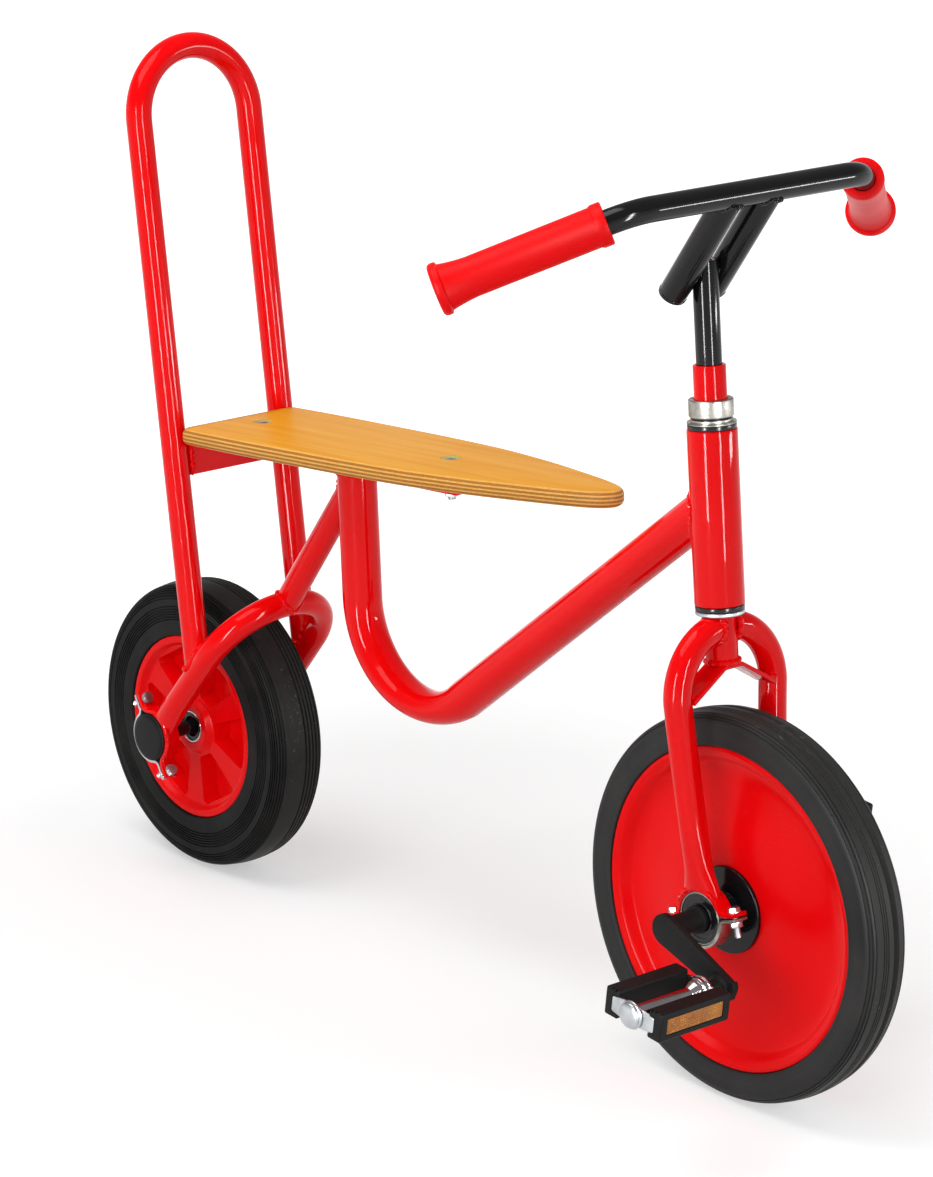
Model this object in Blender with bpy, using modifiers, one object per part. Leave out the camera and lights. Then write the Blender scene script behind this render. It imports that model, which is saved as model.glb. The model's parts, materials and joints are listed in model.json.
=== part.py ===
"""Kids bicycle with a plywood seat board, a tube backrest and a front wheel driven by its own pedals.

Metres, +Z up, +X forwards. The origin is on the floor, midway between the front and the rear of the
two tyres, on the middle plane. Run with: blender --background --python part.py
"""

import math

import bmesh
import bpy
from mathutils import Matrix, Vector

# Fits between neighbouring pieces
FIT = 0.0003
RUNNING_CLEARANCE = 0.0006

# Wheels and where they stand
WHEELBASE = 0.7447
FRONT_WHEEL_RADIUS = 0.175
FRONT_TYRE_WIDTH = 0.046
FRONT_TYRE_SHOULDER = 0.010
FRONT_RIM_RADIUS = 0.145
REAR_WHEEL_RADIUS = 0.144
REAR_TYRE_WIDTH = 0.059
REAR_TYRE_SHOULDER = 0.014
REAR_RIM_RADIUS = 0.092
RIM_RECESS = 0.0015
RIM_LIP = 0.008
WHEEL_SEGMENTS = 48

# Front disc: two dishes back to back
DISC_LIP = 0.006
DISC_VALLEY_RADIUS = 0.117
DISC_VALLEY_DEPTH = 0.0105
DISC_CROWN_RADIUS = 0.045
DISC_CROWN_HALF_WIDTH = 0.0185
FLANGE_RADIUS = 0.039
FLANGE_THICKNESS = 0.0035

# Rear wheel: solid hub and spokes with six pockets on each side
REAR_FACE_HALF_WIDTH = 0.0215
REAR_HUB_HALF_WIDTH = 0.0274
REAR_HUB_RADIUS = 0.027
POCKET_COUNT = 6
POCKET_INNER_RADIUS = 0.034
POCKET_OUTER_RADIUS = 0.080
POCKET_INNER_ANGLE = math.radians(15.0)
POCKET_OUTER_ANGLE = math.radians(19.0)
POCKET_WEB = 0.012
HUB_BEARING_RADIUS = 0.016
HUB_BEARING_WIDTH = 0.007

# Axles, bearings and the clamps that hold them
AXLE_RADIUS = 0.010
BEARING_RADIUS = 0.0235
BEARING_WIDTH = 0.014
REAR_BUSH_WIDTH = 0.020
CLAMP_WIDTH = 0.016
SHELL_THICKNESS = 0.0033
STRAP_THICKNESS = 0.0026
CLAMP_GAP = 0.0015
CLAMP_BOLT_OFFSET = 0.0375
CLAMP_EAR_MARGIN = 0.0065
FRONT_CLAMP_Y = 0.0470
REAR_CLAMP_Y = 0.0700
FRONT_CLAMP_TILT = math.radians(-16.2)
REAR_CLAMP_TILT = math.radians(59.8)
CLAMP_BOLT_RADIUS = 0.003
CLAMP_BOLT_HEAD = 0.005
CLAMP_BOLT_TAIL = 0.0095

# Crank and pedals
CRANK_LENGTH = 0.0755
CRANK_ANGLE = math.radians(-21.3)
CRANK_END = 0.0150
CRANK_WIDTH = 0.028
CRANK_THICKNESS = 0.006
CRANK_Y = 0.091
SPINDLE_RADIUS = 0.0055
PEDAL_TILT = math.radians(-5.5)
PEDAL_GAP = 0.021
PEDAL_LENGTH = 0.081
BARREL_RADIUS = 0.0075
PLATE_THICKNESS = 0.002
PLATE_HALF_SPAN = 0.025
PLATE_HEIGHT = 0.0175
PLATE_TIP_HEIGHT = 0.0135
BLOCK_DEPTH = 0.0155
BLOCK_HEIGHT = 0.026
BLOCK_OFFSET = 0.0258
PEDAL_CAP_RADIUS = 0.0125
PEDAL_CAP_LENGTH = 0.007
REFLECTOR_LENGTH = 0.065
REFLECTOR_HEIGHT = 0.015
REFLECTOR_DEPTH = 0.0035

# Steering: heights along the tilted steering axis, from the foot of the front axle
HEAD_LEAN = math.radians(6.3)
FORK_OFFSET = 0.0135
HEAD_TUBE_RADIUS = 0.022
HEAD_TUBE_BORE = 0.0187
HEAD_TUBE_LOW = 0.2655
HEAD_TUBE_LENGTH = 0.1525
HEADSET_RING = 0.0040
BUSH_DEPTH = 0.020
LOCK_NUT_RADIUS = 0.0195
LOCK_NUT_HEIGHT = 0.017
STEERER_RADIUS = 0.01425
STEERER_BORE = 0.0116
STEERER_LOW = 0.2150
STEERER_COLLAR = 0.029
STEM_POST_RADIUS = 0.01125
STEM_POST_TOP = 0.5620
STEM_INSERTION = 0.070
STEM_ARM_RADIUS = 0.0125
STEM_ARM_Y = 0.0230
STEM_ARM_LOW = (-0.0178, 0.5334)
STEM_BOLT_RADIUS = 0.004

# Fork
FORK_TUBE_RADIUS = 0.0125
ARCH_RADIUS = 0.0573
ARCH_HEIGHT = 0.1895
ARCH_SETBACK = 0.0026
CROWN_HALF_GAP = 0.003
FLATTENED_HALF_WIDTH = 0.0155
FLATTENED_HALF_THICKNESS = 0.0090
BRACE_WIDTH = 0.025
BRACE_THICKNESS = 0.004
BRACE_FOOT = 0.1935
BRACE_FLAT = 0.010

# Handlebar
BAR_RADIUS = 0.011
BAR_REACH = 0.0579
BAR_HEIGHT = 0.6220
BAR_BEND_Y = 0.1328
BAR_BEND_RADIUS = 0.054
BAR_END = (-0.0500, 0.2557, 0.5670)
GRIP_RADIUS = 0.017
GRIP_FLARE_RADIUS = 0.0225
GRIP_LENGTH = 0.1495
GRIP_FLARE_LENGTH = 0.032
GRIP_COLLAR_RADIUS = 0.0185
GRIP_COLLAR_LENGTH = 0.010
GRIP_END_WALL = 0.006

# Frame tubes
MAIN_TUBE_RADIUS = 0.0188
DOWN_TUBE_ANGLE = math.radians(39.5)
DOWN_TUBE_JOINT = 0.3540
MAIN_BEND_RADIUS = 0.0915
MAIN_BEND_SQUASH = 0.76
SMALL_TUBE_RADIUS = 0.0125
STAY_APEX = (0.1155, 0.2941)
STAY_HALF_SPACING = 0.068
STAY_TILT = math.radians(54.3)
SEAT_STAY_TOP = 0.4430
BACKREST_HALF_SPACING = 0.06625
BACKREST_LEAN = math.radians(9.65)
BACKREST_BEND_HEIGHT = 0.7490
BACKREST_BEND_SETBACK = 0.0267
TUBE_SIDES = 16

# Seat, in a frame that slopes with the board; its origin is the top of the rear bolt hole
SEAT_SLOPE = math.radians(4.8)
SEAT_REAR_BOLT = (0.0783, 0.4676)
SEAT_THICKNESS = 0.016
SEAT_EDGE_ROUND = 0.0055
SEAT_BOLT_SPACING = 0.274
SEAT_OUTLINE = (
    (-0.0415, 0.000), (-0.0412, 0.058), (-0.0375, 0.0665), (-0.0290, 0.0705), (0.0265, 0.0714),
    (0.0750, 0.0710), (0.1450, 0.0695), (0.2050, 0.0677), (0.2670, 0.0640), (0.3075, 0.0594),
    (0.3475, 0.0528), (0.3880, 0.0445), (0.4280, 0.0350), (0.4500, 0.0294), (0.4690, 0.0236),
    (0.4820, 0.0184), (0.4900, 0.0130), (0.4950, 0.0065), (0.4968, 0.000),
)
SEAT_TUBE_PLACE = 0.1385
SEAT_RAIL_WIDTH = 0.030
SEAT_RAIL_HEIGHT = 0.014
SEAT_RAIL_REAR = 0.112
SEAT_RAIL_NOSE = 0.022
SEAT_BOLT_RADIUS = 0.004
SEAT_BOLT_CUP_RADIUS = 0.009
SEAT_BOLT_CUP_DEPTH = 0.0018
CROSSBAR_THICKNESS = 0.004
CROSSBAR_REAR = -0.0500
CROSSBAR_FRONT = 0.0180
CROSSBAR_DROP = 0.033

# Places worked out from the sizes above
FRONT_AXLE_X = (WHEELBASE + REAR_WHEEL_RADIUS - FRONT_WHEEL_RADIUS) / 2
REAR_AXLE_X = FRONT_AXLE_X - WHEELBASE
FRONT_HUB = Matrix.Translation((FRONT_AXLE_X, 0, FRONT_WHEEL_RADIUS))
REAR_HUB = Matrix.Translation((REAR_AXLE_X, 0, REAR_WHEEL_RADIUS))
STEERING = FRONT_HUB @ Matrix.Rotation(-HEAD_LEAN, 4, "Y") @ Matrix.Translation((-FORK_OFFSET, 0, 0))
SEAT = (
    Matrix.Translation((REAR_AXLE_X + SEAT_REAR_BOLT[0], 0, SEAT_REAR_BOLT[1]))
    @ Matrix.Rotation(-SEAT_SLOPE, 4, "Y")
)
ACROSS = Matrix.Rotation(math.pi / 2, 4, "X")
SHELL_RADIUS = BEARING_RADIUS + FIT + SHELL_THICKNESS
PARTS = bpy.data.collections.new("kids_bicycle")
CUTTERS = bpy.data.collections.new("cutters")


def clear_scene():
    """Remove every object and give the scene one collection for the parts and one for the cutters."""
    for old in list(bpy.data.objects):
        bpy.data.objects.remove(old, do_unlink=True)
    bpy.context.scene.collection.children.link(PARTS)
    bpy.context.scene.collection.children.link(CUTTERS)


def finish(name, colour, roughness, metallic=0.0):
    """A plain material of one colour."""
    material = bpy.data.materials.new(name)
    material.use_nodes = True
    shader = material.node_tree.nodes["Principled BSDF"]
    shader.inputs["Base Color"].default_value = (*colour, 1.0)
    shader.inputs["Roughness"].default_value = roughness
    shader.inputs["Metallic"].default_value = metallic
    material.diffuse_color = (*colour, 1.0)
    return material


def new_frame(name, place, parent, parent_place):
    """An empty on a joint's axis, which carries the pieces that move together."""
    empty = bpy.data.objects.new(name, None)
    empty.empty_display_size = 0.05
    PARTS.objects.link(empty)
    place_under(empty, parent, parent_place.inverted() @ place)
    return empty


def place_under(obj, parent, matrix):
    """Parent an object and set its place in its parent's frame."""
    obj.parent = parent
    obj.matrix_basis = matrix


def add_part(name, mesh, material, parent=None, matrix=Matrix()):
    """Add a mesh as a named piece."""
    obj = bpy.data.objects.new(name, mesh)
    PARTS.objects.link(obj)
    place_under(obj, parent, matrix)
    if material and not mesh.materials:
        mesh.materials.append(material)
    mesh.shade_smooth()
    mesh.set_sharp_from_angle(angle=math.radians(35))
    return obj


def add_cutter(name, mesh, parent=None, matrix=Matrix()):
    """Add a mesh that only cuts or joins other pieces."""
    obj = bpy.data.objects.new(name, mesh)
    CUTTERS.objects.link(obj)
    place_under(obj, parent, matrix)
    obj.display_type = "WIRE"
    obj.hide_render = True
    return obj


def boolean(obj, cutter, operation="DIFFERENCE"):
    """Cut a cutter out of a piece, or join it on."""
    modifier = obj.modifiers.new(cutter.name, "BOOLEAN")
    modifier.operation = operation
    modifier.object = cutter


def baked_mesh(obj, name):
    """The evaluated mesh of an object, welded shut, as a mesh of its own."""
    bpy.context.view_layer.update()
    evaluated = obj.evaluated_get(bpy.context.evaluated_depsgraph_get())
    mesh = bpy.data.meshes.new_from_object(evaluated)
    mesh.name = name
    bm = bmesh.new()
    bm.from_mesh(mesh)
    bmesh.ops.remove_doubles(bm, verts=bm.verts, dist=0.00002)
    bmesh.ops.recalc_face_normals(bm, faces=bm.faces)
    bm.to_mesh(mesh)
    bm.free()
    return mesh


def baked_object_mesh(obj, name):
    """Bake an object to a mesh and remove the object."""
    mesh = baked_mesh(obj, name)
    bpy.data.objects.remove(obj, do_unlink=True)
    return mesh


def primitive_mesh(name, build):
    """A mesh made by one function that fills a bmesh."""
    bm = bmesh.new()
    build(bm)
    mesh = bpy.data.meshes.new(name)
    bm.to_mesh(mesh)
    bm.free()
    return mesh


def box_mesh(name, size):
    """A box centred on its origin."""
    def build(bm):
        bmesh.ops.create_cube(bm, size=1.0, matrix=Matrix.Diagonal((*size, 1.0)))
    return primitive_mesh(name, build)


def rod_mesh(name, radius, low, high, sides=TUBE_SIDES, top_radius=None):
    """A round or many-sided rod along Z from low to high."""
    def build(bm):
        bmesh.ops.create_cone(
            bm, cap_ends=True, segments=sides, radius1=radius,
            radius2=radius if top_radius is None else top_radius, depth=high - low,
            matrix=Matrix.Translation((0, 0, (low + high) / 2)),
        )
    return primitive_mesh(name, build)


def turned_mesh(name, profile, segments, closed=True):
    """Turn a profile of (radius, height) points round Z with a Screw modifier."""
    mesh = bpy.data.meshes.new(name)
    count = len(profile)
    edges = [(i, (i + 1) % count) for i in range(count if closed else count - 1)]
    mesh.from_pydata([(radius, 0, height) for radius, height in profile], edges, [])
    obj = bpy.data.objects.new(name, mesh)
    PARTS.objects.link(obj)
    screw = obj.modifiers.new("Screw", "SCREW")
    screw.steps = screw.render_steps = segments
    screw.use_merge_vertices = True
    screw.merge_threshold = 0.00001
    return baked_object_mesh(obj, name)


def plate_mesh(name, outline, thickness, holes=()):
    """A flat plate in XY from an outline, with round holes given as (x, y, radius)."""
    curve = bpy.data.curves.new(name, "CURVE")
    curve.dimensions = "2D"
    curve.fill_mode = "BOTH"
    curve.extrude = thickness / 2
    loops = [outline]
    for x, y, radius in holes:
        loops.append([
            (x + radius * math.cos(i * math.pi / 6), y + radius * math.sin(i * math.pi / 6))
            for i in range(12)
        ])
    for loop in loops:
        spline = curve.splines.new("POLY")
        spline.points.add(len(loop) - 1)
        spline.use_cyclic_u = True
        for point, (x, y) in zip(spline.points, loop):
            point.co = (x, y, 0, 1)
    obj = bpy.data.objects.new(name, curve)
    PARTS.objects.link(obj)
    return baked_object_mesh(obj, name)


def tube_object(name, points, radius, material, parent=None, sides=TUBE_SIDES):
    """A solid round bar along a list of points, as a curve with a bevel and filled caps."""
    curve = bpy.data.curves.new(name, "CURVE")
    curve.dimensions = "3D"
    curve.bevel_depth = radius
    curve.bevel_resolution = (sides - 4) // 2
    curve.use_fill_caps = True
    spline = curve.splines.new("POLY")
    spline.points.add(len(points) - 1)
    for point, place in zip(spline.points, points):
        point.co = (*place, 1)
    curve.materials.append(material)
    obj = bpy.data.objects.new(name, curve)
    PARTS.objects.link(obj)
    obj.parent = parent
    return obj


def tube_part(name, points, radius, material, parent=None, sides=TUBE_SIDES):
    """A round bar as a welded mesh, ready to be cut."""
    mesh = baked_object_mesh(tube_object(name, points, radius, material, None, sides), name)
    return add_part(name, mesh, material, parent)


def arc_points(centre, start, end, axis, steps):
    """Points that swing start round a centre to the angle end about an axis."""
    spoke = Vector(start) - Vector(centre)
    return [
        Vector(centre) + Matrix.Rotation(end * i / steps, 3, axis) @ spoke for i in range(steps + 1)
    ]


def filleted(points, radius, steps):
    """A polyline whose inner corners are rounded to a radius."""
    points = [Vector(point) for point in points]
    path = [points[0]]
    for before, corner, after in zip(points, points[1:], points[2:]):
        back = (before - corner).normalized()
        on = (after - corner).normalized()
        half = back.angle(on) / 2
        start = corner + back * radius / math.tan(half)
        centre = corner + (back + on).normalized() * radius / math.sin(half)
        axis = (start - centre).cross(-back).normalized()
        path += arc_points(centre, start, math.pi - 2 * half, axis, steps)
    path.append(points[-1])
    return path


def loft_mesh(name, centres, normal, radii, sides=TUBE_SIDES):
    """A bar whose section changes: each ring has a radius along the normal and one across it."""
    def build(bm):
        rings = []
        last = len(centres) - 1
        for i, (centre, (wide, thick)) in enumerate(zip(centres, radii)):
            along = (centres[min(i + 1, last)] - centres[max(i - 1, 0)]).normalized()
            side = (normal - along * normal.dot(along)).normalized()
            across = along.cross(side)
            turns = [2 * math.pi * k / sides for k in range(sides)]
            rings.append([
                bm.verts.new(centre + side * wide * math.cos(t) + across * thick * math.sin(t))
                for t in turns
            ])
        for ring, following in zip(rings, rings[1:]):
            for k in range(sides):
                turn = (k + 1) % sides
                bm.faces.new((ring[k], ring[turn], following[turn], following[k]))
        bm.faces.new(rings[0][::-1])
        bm.faces.new(rings[-1])
        bmesh.ops.recalc_face_normals(bm, faces=bm.faces)
    return primitive_mesh(name, build)


def united_mesh(name, pieces):
    """One solid made of several (mesh, matrix) pieces that overlap."""
    base = add_cutter(name, pieces[0][0], None, pieces[0][1])
    others = [add_cutter(name + "_joined", mesh, None, matrix) for mesh, matrix in pieces[1:]]
    for other in others:
        boolean(base, other, "UNION")
    mesh = baked_mesh(base, name)
    mesh.transform(pieces[0][1])
    for used in [base, *others]:
        bpy.data.objects.remove(used, do_unlink=True)
    return mesh


def tyre_profile(radius, bore, width, shoulder):
    """Tyre section: bore, flat side walls, round shoulders and a slightly crowned tread."""
    half = width / 2
    crown = 0.0015
    corner = [
        (radius - crown - shoulder * (1 - math.cos(a)), half - shoulder * (1 - math.sin(a)))
        for a in (math.radians(d) for d in (0, 30, 60, 90))
    ]
    upper = [(bore, half), *corner[::-1]]
    lower = [(r, -z) for r, z in upper]
    return [*upper, (radius, 0), *lower[::-1]]


def ring_profile(inner, outer, low, high):
    """A plain ring's section."""
    return [(outer, high), (outer, low), (inner, low), (inner, high)]


def build_front_wheel(parent, paint, rubber, black):
    """Disc, tyre and the two drive flanges, all on the front axle."""
    lip = FRONT_TYRE_WIDTH / 2 - RIM_RECESS
    rim = FRONT_RIM_RADIUS - FIT
    dome = [
        (DISC_CROWN_RADIUS + (DISC_VALLEY_RADIUS - DISC_CROWN_RADIUS) * t,
         DISC_VALLEY_DEPTH + (DISC_CROWN_HALF_WIDTH - DISC_VALLEY_DEPTH) * math.cos(t * math.pi / 2))
        for t in (0.0, 0.35, 0.7, 1.0)
    ]
    bore = AXLE_RADIUS + FIT
    face = [(bore, DISC_CROWN_HALF_WIDTH), *dome, (rim - DISC_LIP - 0.006, DISC_VALLEY_DEPTH + 0.004),
            (rim - DISC_LIP, lip - 0.002), (rim - DISC_LIP + 0.002, lip), (rim, lip)]
    profile = [*face, *[(r, -z) for r, z in face[::-1]]]
    disc = turned_mesh("front_wheel_disc", profile, WHEEL_SEGMENTS)
    add_part("front_wheel_disc", disc, paint, parent, ACROSS)
    section = tyre_profile(FRONT_WHEEL_RADIUS, FRONT_RIM_RADIUS, FRONT_TYRE_WIDTH, FRONT_TYRE_SHOULDER)
    tyre = turned_mesh("front_tyre", section, WHEEL_SEGMENTS)
    add_part("front_tyre", tyre, rubber, parent, ACROSS)
    low = DISC_CROWN_HALF_WIDTH + FIT
    high = low + FLANGE_THICKNESS
    section = [(bore, high), (FLANGE_RADIUS - 0.001, high), (FLANGE_RADIUS, high - 0.001),
               (FLANGE_RADIUS, low), (bore, low)]
    flange = turned_mesh("drive_flange", section, 32)
    add_part("drive_flange_left", flange, black, parent, ACROSS.inverted())
    add_part("drive_flange_right", flange, black, parent, ACROSS)


def pocket_outline(angle):
    """A pocket between two spokes: narrow near the hub, wide near the rim."""
    inner = [angle + POCKET_INNER_ANGLE * s for s in (-1, 0, 1)]
    outer = [angle + POCKET_OUTER_ANGLE * s for s in (1, 0.5, 0, -0.5, -1)]
    points = [(POCKET_INNER_RADIUS * math.cos(a), POCKET_INNER_RADIUS * math.sin(a)) for a in inner]
    points += [(POCKET_OUTER_RADIUS * math.cos(a), POCKET_OUTER_RADIUS * math.sin(a)) for a in outer]
    return points


def build_rear_wheel(parent, paint, rubber, bright):
    """Rim with pockets, tyre and the two hub bearings."""
    lip = REAR_TYRE_WIDTH / 2 - RIM_RECESS
    rim = REAR_RIM_RADIUS - FIT
    seat_bore = HUB_BEARING_RADIUS + FIT
    web = REAR_HUB_HALF_WIDTH - HUB_BEARING_WIDTH - FIT
    face = [(AXLE_RADIUS + RUNNING_CLEARANCE, web), (seat_bore, web), (seat_bore, REAR_HUB_HALF_WIDTH),
            (REAR_HUB_RADIUS, REAR_HUB_HALF_WIDTH), (REAR_HUB_RADIUS + 0.003, REAR_FACE_HALF_WIDTH),
            (rim - RIM_LIP - 0.001, REAR_FACE_HALF_WIDTH), (rim - RIM_LIP, lip - 0.001),
            (rim - RIM_LIP + 0.001, lip), (rim, lip)]
    profile = [*face, *[(r, -z) for r, z in face[::-1]]]
    wheel = add_part("rear_wheel", turned_mesh("rear_wheel", profile, WHEEL_SEGMENTS), paint, parent, ACROSS)
    depth = lip - POCKET_WEB / 2
    for side in (1, -1):
        for i in range(POCKET_COUNT):
            outline = pocket_outline(2 * math.pi * i / POCKET_COUNT)
            middle = side * (POCKET_WEB / 2 + depth / 2)
            cutter = add_cutter("pocket", plate_mesh("pocket", outline, depth), parent,
                                ACROSS @ Matrix.Translation((0, 0, middle)))
            boolean(wheel, cutter)
    section = tyre_profile(REAR_WHEEL_RADIUS, REAR_RIM_RADIUS, REAR_TYRE_WIDTH, REAR_TYRE_SHOULDER)
    add_part("rear_tyre", turned_mesh("rear_tyre", section, WHEEL_SEGMENTS), rubber, parent, ACROSS)
    low = web + FIT
    section = ring_profile(AXLE_RADIUS + RUNNING_CLEARANCE, HUB_BEARING_RADIUS, low, REAR_HUB_HALF_WIDTH)
    bearing = turned_mesh("rear_hub_bearing", section, WHEEL_SEGMENTS)
    add_part("rear_hub_bearing_left", bearing, bright, parent, ACROSS.inverted())
    add_part("rear_hub_bearing_right", bearing, bright, parent, ACROSS)


def clamp_outline(thickness, upper):
    """Half of an axle clamp: a half ring with a flat ear on each side, in the clamp's own XY plane."""
    gap = CLAMP_GAP / 2
    inner = BEARING_RADIUS + FIT
    outer = inner + thickness
    reach = CLAMP_BOLT_OFFSET + CLAMP_EAR_MARGIN
    inner_start = math.asin(gap / inner)
    outer_start = math.asin((gap + thickness) / outer)
    steps = 12
    points = [(reach, gap), (reach, gap + thickness)]
    for i in range(steps + 1):
        a = outer_start + (math.pi - 2 * outer_start) * i / steps
        points.append((outer * math.cos(a), outer * math.sin(a)))
    points += [(-reach, gap + thickness), (-reach, gap)]
    for i in range(steps + 1):
        a = math.pi - inner_start - (math.pi - 2 * inner_start) * i / steps
        points.append((inner * math.cos(a), inner * math.sin(a)))
    return [(x, y if upper else -y) for x, y in points]


def clamp_half_mesh(name, thickness, upper):
    """A clamp half with its two bolt holes, lying across the axle."""
    mesh = plate_mesh(name, clamp_outline(thickness, upper), CLAMP_WIDTH)
    mesh.transform(ACROSS)
    half = add_part(name, mesh, None)
    for side in (1, -1):
        hole = rod_mesh("bolt_hole", CLAMP_BOLT_RADIUS + FIT, -0.02, 0.02, 12)
        boolean(half, add_cutter("bolt_hole", hole, None, Matrix.Translation((side * CLAMP_BOLT_OFFSET, 0, 0))))
    return baked_object_mesh(half, name)


def bolt_mesh(name, radius, grip_low, grip_high, tail, head_height):
    """A hexagon bolt with its nut: the grip between them runs from grip_low to grip_high."""
    flats = radius * 1.9
    shank = rod_mesh("shank", radius, grip_low - head_height - tail, grip_high + 0.001, 12)
    head = rod_mesh("head", flats, grip_high + FIT, grip_high + FIT + head_height, 6)
    nut = rod_mesh("nut", flats, grip_low - FIT - head_height, grip_low - FIT, 6)
    return united_mesh(name, [(shank, Matrix()), (head, Matrix()), (nut, Matrix())])


def build_clamp(name, hub, tilt, y, parent, own_strap, own_bolts, metal):
    """The strap and bolts of one axle clamp; the upper half belongs to its fork leg or stay."""
    sides = (("right", -1), ("left", 1))
    for side, sign in sides:
        frame = hub @ Matrix.Translation((0, sign * y, 0)) @ Matrix.Rotation(tilt, 4, "Y")
        add_part(f"{name}_clamp_strap_{side}", own_strap, metal, parent, frame)
        for where, offset in (("front", 1), ("rear", -1)):
            place = frame @ Matrix.Translation((offset * CLAMP_BOLT_OFFSET, 0, 0))
            add_part(f"{name}_clamp_bolt_{side}_{where}", own_bolts, metal, parent, place)


def leg_with_shell(name, mesh, shell, hub, tilt, y, side, paint):
    """Cope a tube's end to the clamp shell, then weld the shell to it as one solid."""
    frame = hub @ Matrix.Translation((0, side * y, 0)) @ Matrix.Rotation(tilt, 4, "Y")
    overlap = 0.0006
    leg = add_part(name + "_tube", mesh, paint)
    cope = rod_mesh("cope", SHELL_RADIUS - overlap, -0.03, 0.03, 48)
    boolean(leg, add_cutter("cope", cope, None, frame @ ACROSS))
    joined = add_cutter("shell", shell, None, frame)
    boolean(leg, joined, "UNION")
    return leg


def fork_leg_path(side):
    """Centres and section radii of one fork leg, from the axle up to the steering axis."""
    steps = 9
    turns = 10
    centres = []
    radii = []
    for i in range(steps + 1):
        share = i / steps
        y = FRONT_CLAMP_Y + (ARCH_RADIUS - FRONT_CLAMP_Y) * share ** 1.6
        x = ARCH_SETBACK + (FORK_OFFSET - ARCH_SETBACK) * (1 - share) ** 2
        centres.append(Vector((x, side * y, ARCH_HEIGHT * share)))
        flat = max(0.0, 1 - share / 0.45)
        radii.append((
            FORK_TUBE_RADIUS + (FLATTENED_HALF_WIDTH - FORK_TUBE_RADIUS) * flat,
            FORK_TUBE_RADIUS + (FLATTENED_HALF_THICKNESS - FORK_TUBE_RADIUS) * flat,
        ))
    reach = math.acos(CROWN_HALF_GAP / ARCH_RADIUS)
    for i in range(1, turns + 1):
        a = reach * i / turns
        centres.append(Vector((ARCH_SETBACK, side * ARCH_RADIUS * math.cos(a),
                               ARCH_HEIGHT + ARCH_RADIUS * math.sin(a))))
        radii.append((FORK_TUBE_RADIUS, FORK_TUBE_RADIUS))
    return centres, radii


def build_fork(parent, paint, shell):
    """Two legs that meet over the wheel at the steerer, and the brace between them."""
    hub = Matrix.Translation((FORK_OFFSET, 0, 0))
    tilt = FRONT_CLAMP_TILT + HEAD_LEAN
    forward = Vector((1, 0, 0))
    for side_name, side in (("right", -1), ("left", 1)):
        centres, radii = fork_leg_path(side)
        name = f"fork_leg_{side_name}"
        mesh = loft_mesh(name, centres, forward, radii)
        leg = leg_with_shell(name, mesh, shell, hub, tilt, FRONT_CLAMP_Y, side, paint)
        saddle = rod_mesh("steerer_saddle", STEERER_RADIUS + FIT, 0.15, 0.30, 48)
        boolean(leg, add_cutter("steerer_saddle", saddle))
        floor = HEAD_TUBE_LOW - 2 * HEADSET_RING - 3 * FIT
        race = rod_mesh("race_floor", HEAD_TUBE_RADIUS + FIT, floor, 0.30, 48)
        boolean(leg, add_cutter("race_floor", race))
        bake_in_place(leg, name, paint, parent)
    foot = (ARCH_RADIUS - FORK_TUBE_RADIUS, BRACE_FOOT)
    top = STEERER_LOW - FIT
    slope = math.atan2(top - foot[1], foot[0] - BRACE_FLAT)
    drop = BRACE_THICKNESS / math.cos(slope)
    outline = [(foot[0], foot[1]), (BRACE_FLAT, top), (-BRACE_FLAT, top), (-foot[0], foot[1]),
               (-foot[0], foot[1] - drop), (-BRACE_FLAT, top - BRACE_THICKNESS),
               (BRACE_FLAT, top - BRACE_THICKNESS), (foot[0], foot[1] - drop)]
    mesh = plate_mesh("fork_brace", outline, BRACE_WIDTH)
    turn = Matrix.Rotation(math.pi / 2, 4, "Z") @ ACROSS
    brace = add_part("fork_brace_solid", mesh, paint, None, Matrix.Translation((ARCH_SETBACK, 0, 0)) @ turn)
    for side in (1, -1):
        centres, radii = fork_leg_path(side)
        grown = [(a + FIT, b + FIT) for a, b in radii]
        boolean(brace, add_cutter("leg_clearance", loft_mesh("leg_clearance", centres, forward, grown, 32)))
    bake_in_place(brace, "fork_brace", paint, parent)


def bake_in_place(obj, name, material, parent):
    """Apply an object's modifiers and place, then hang the result on its parent."""
    mesh = baked_mesh(obj, name)
    mesh.transform(obj.matrix_world)
    bpy.data.objects.remove(obj, do_unlink=True)
    mesh.materials.clear()
    return add_part(name, mesh, material, parent)


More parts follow.
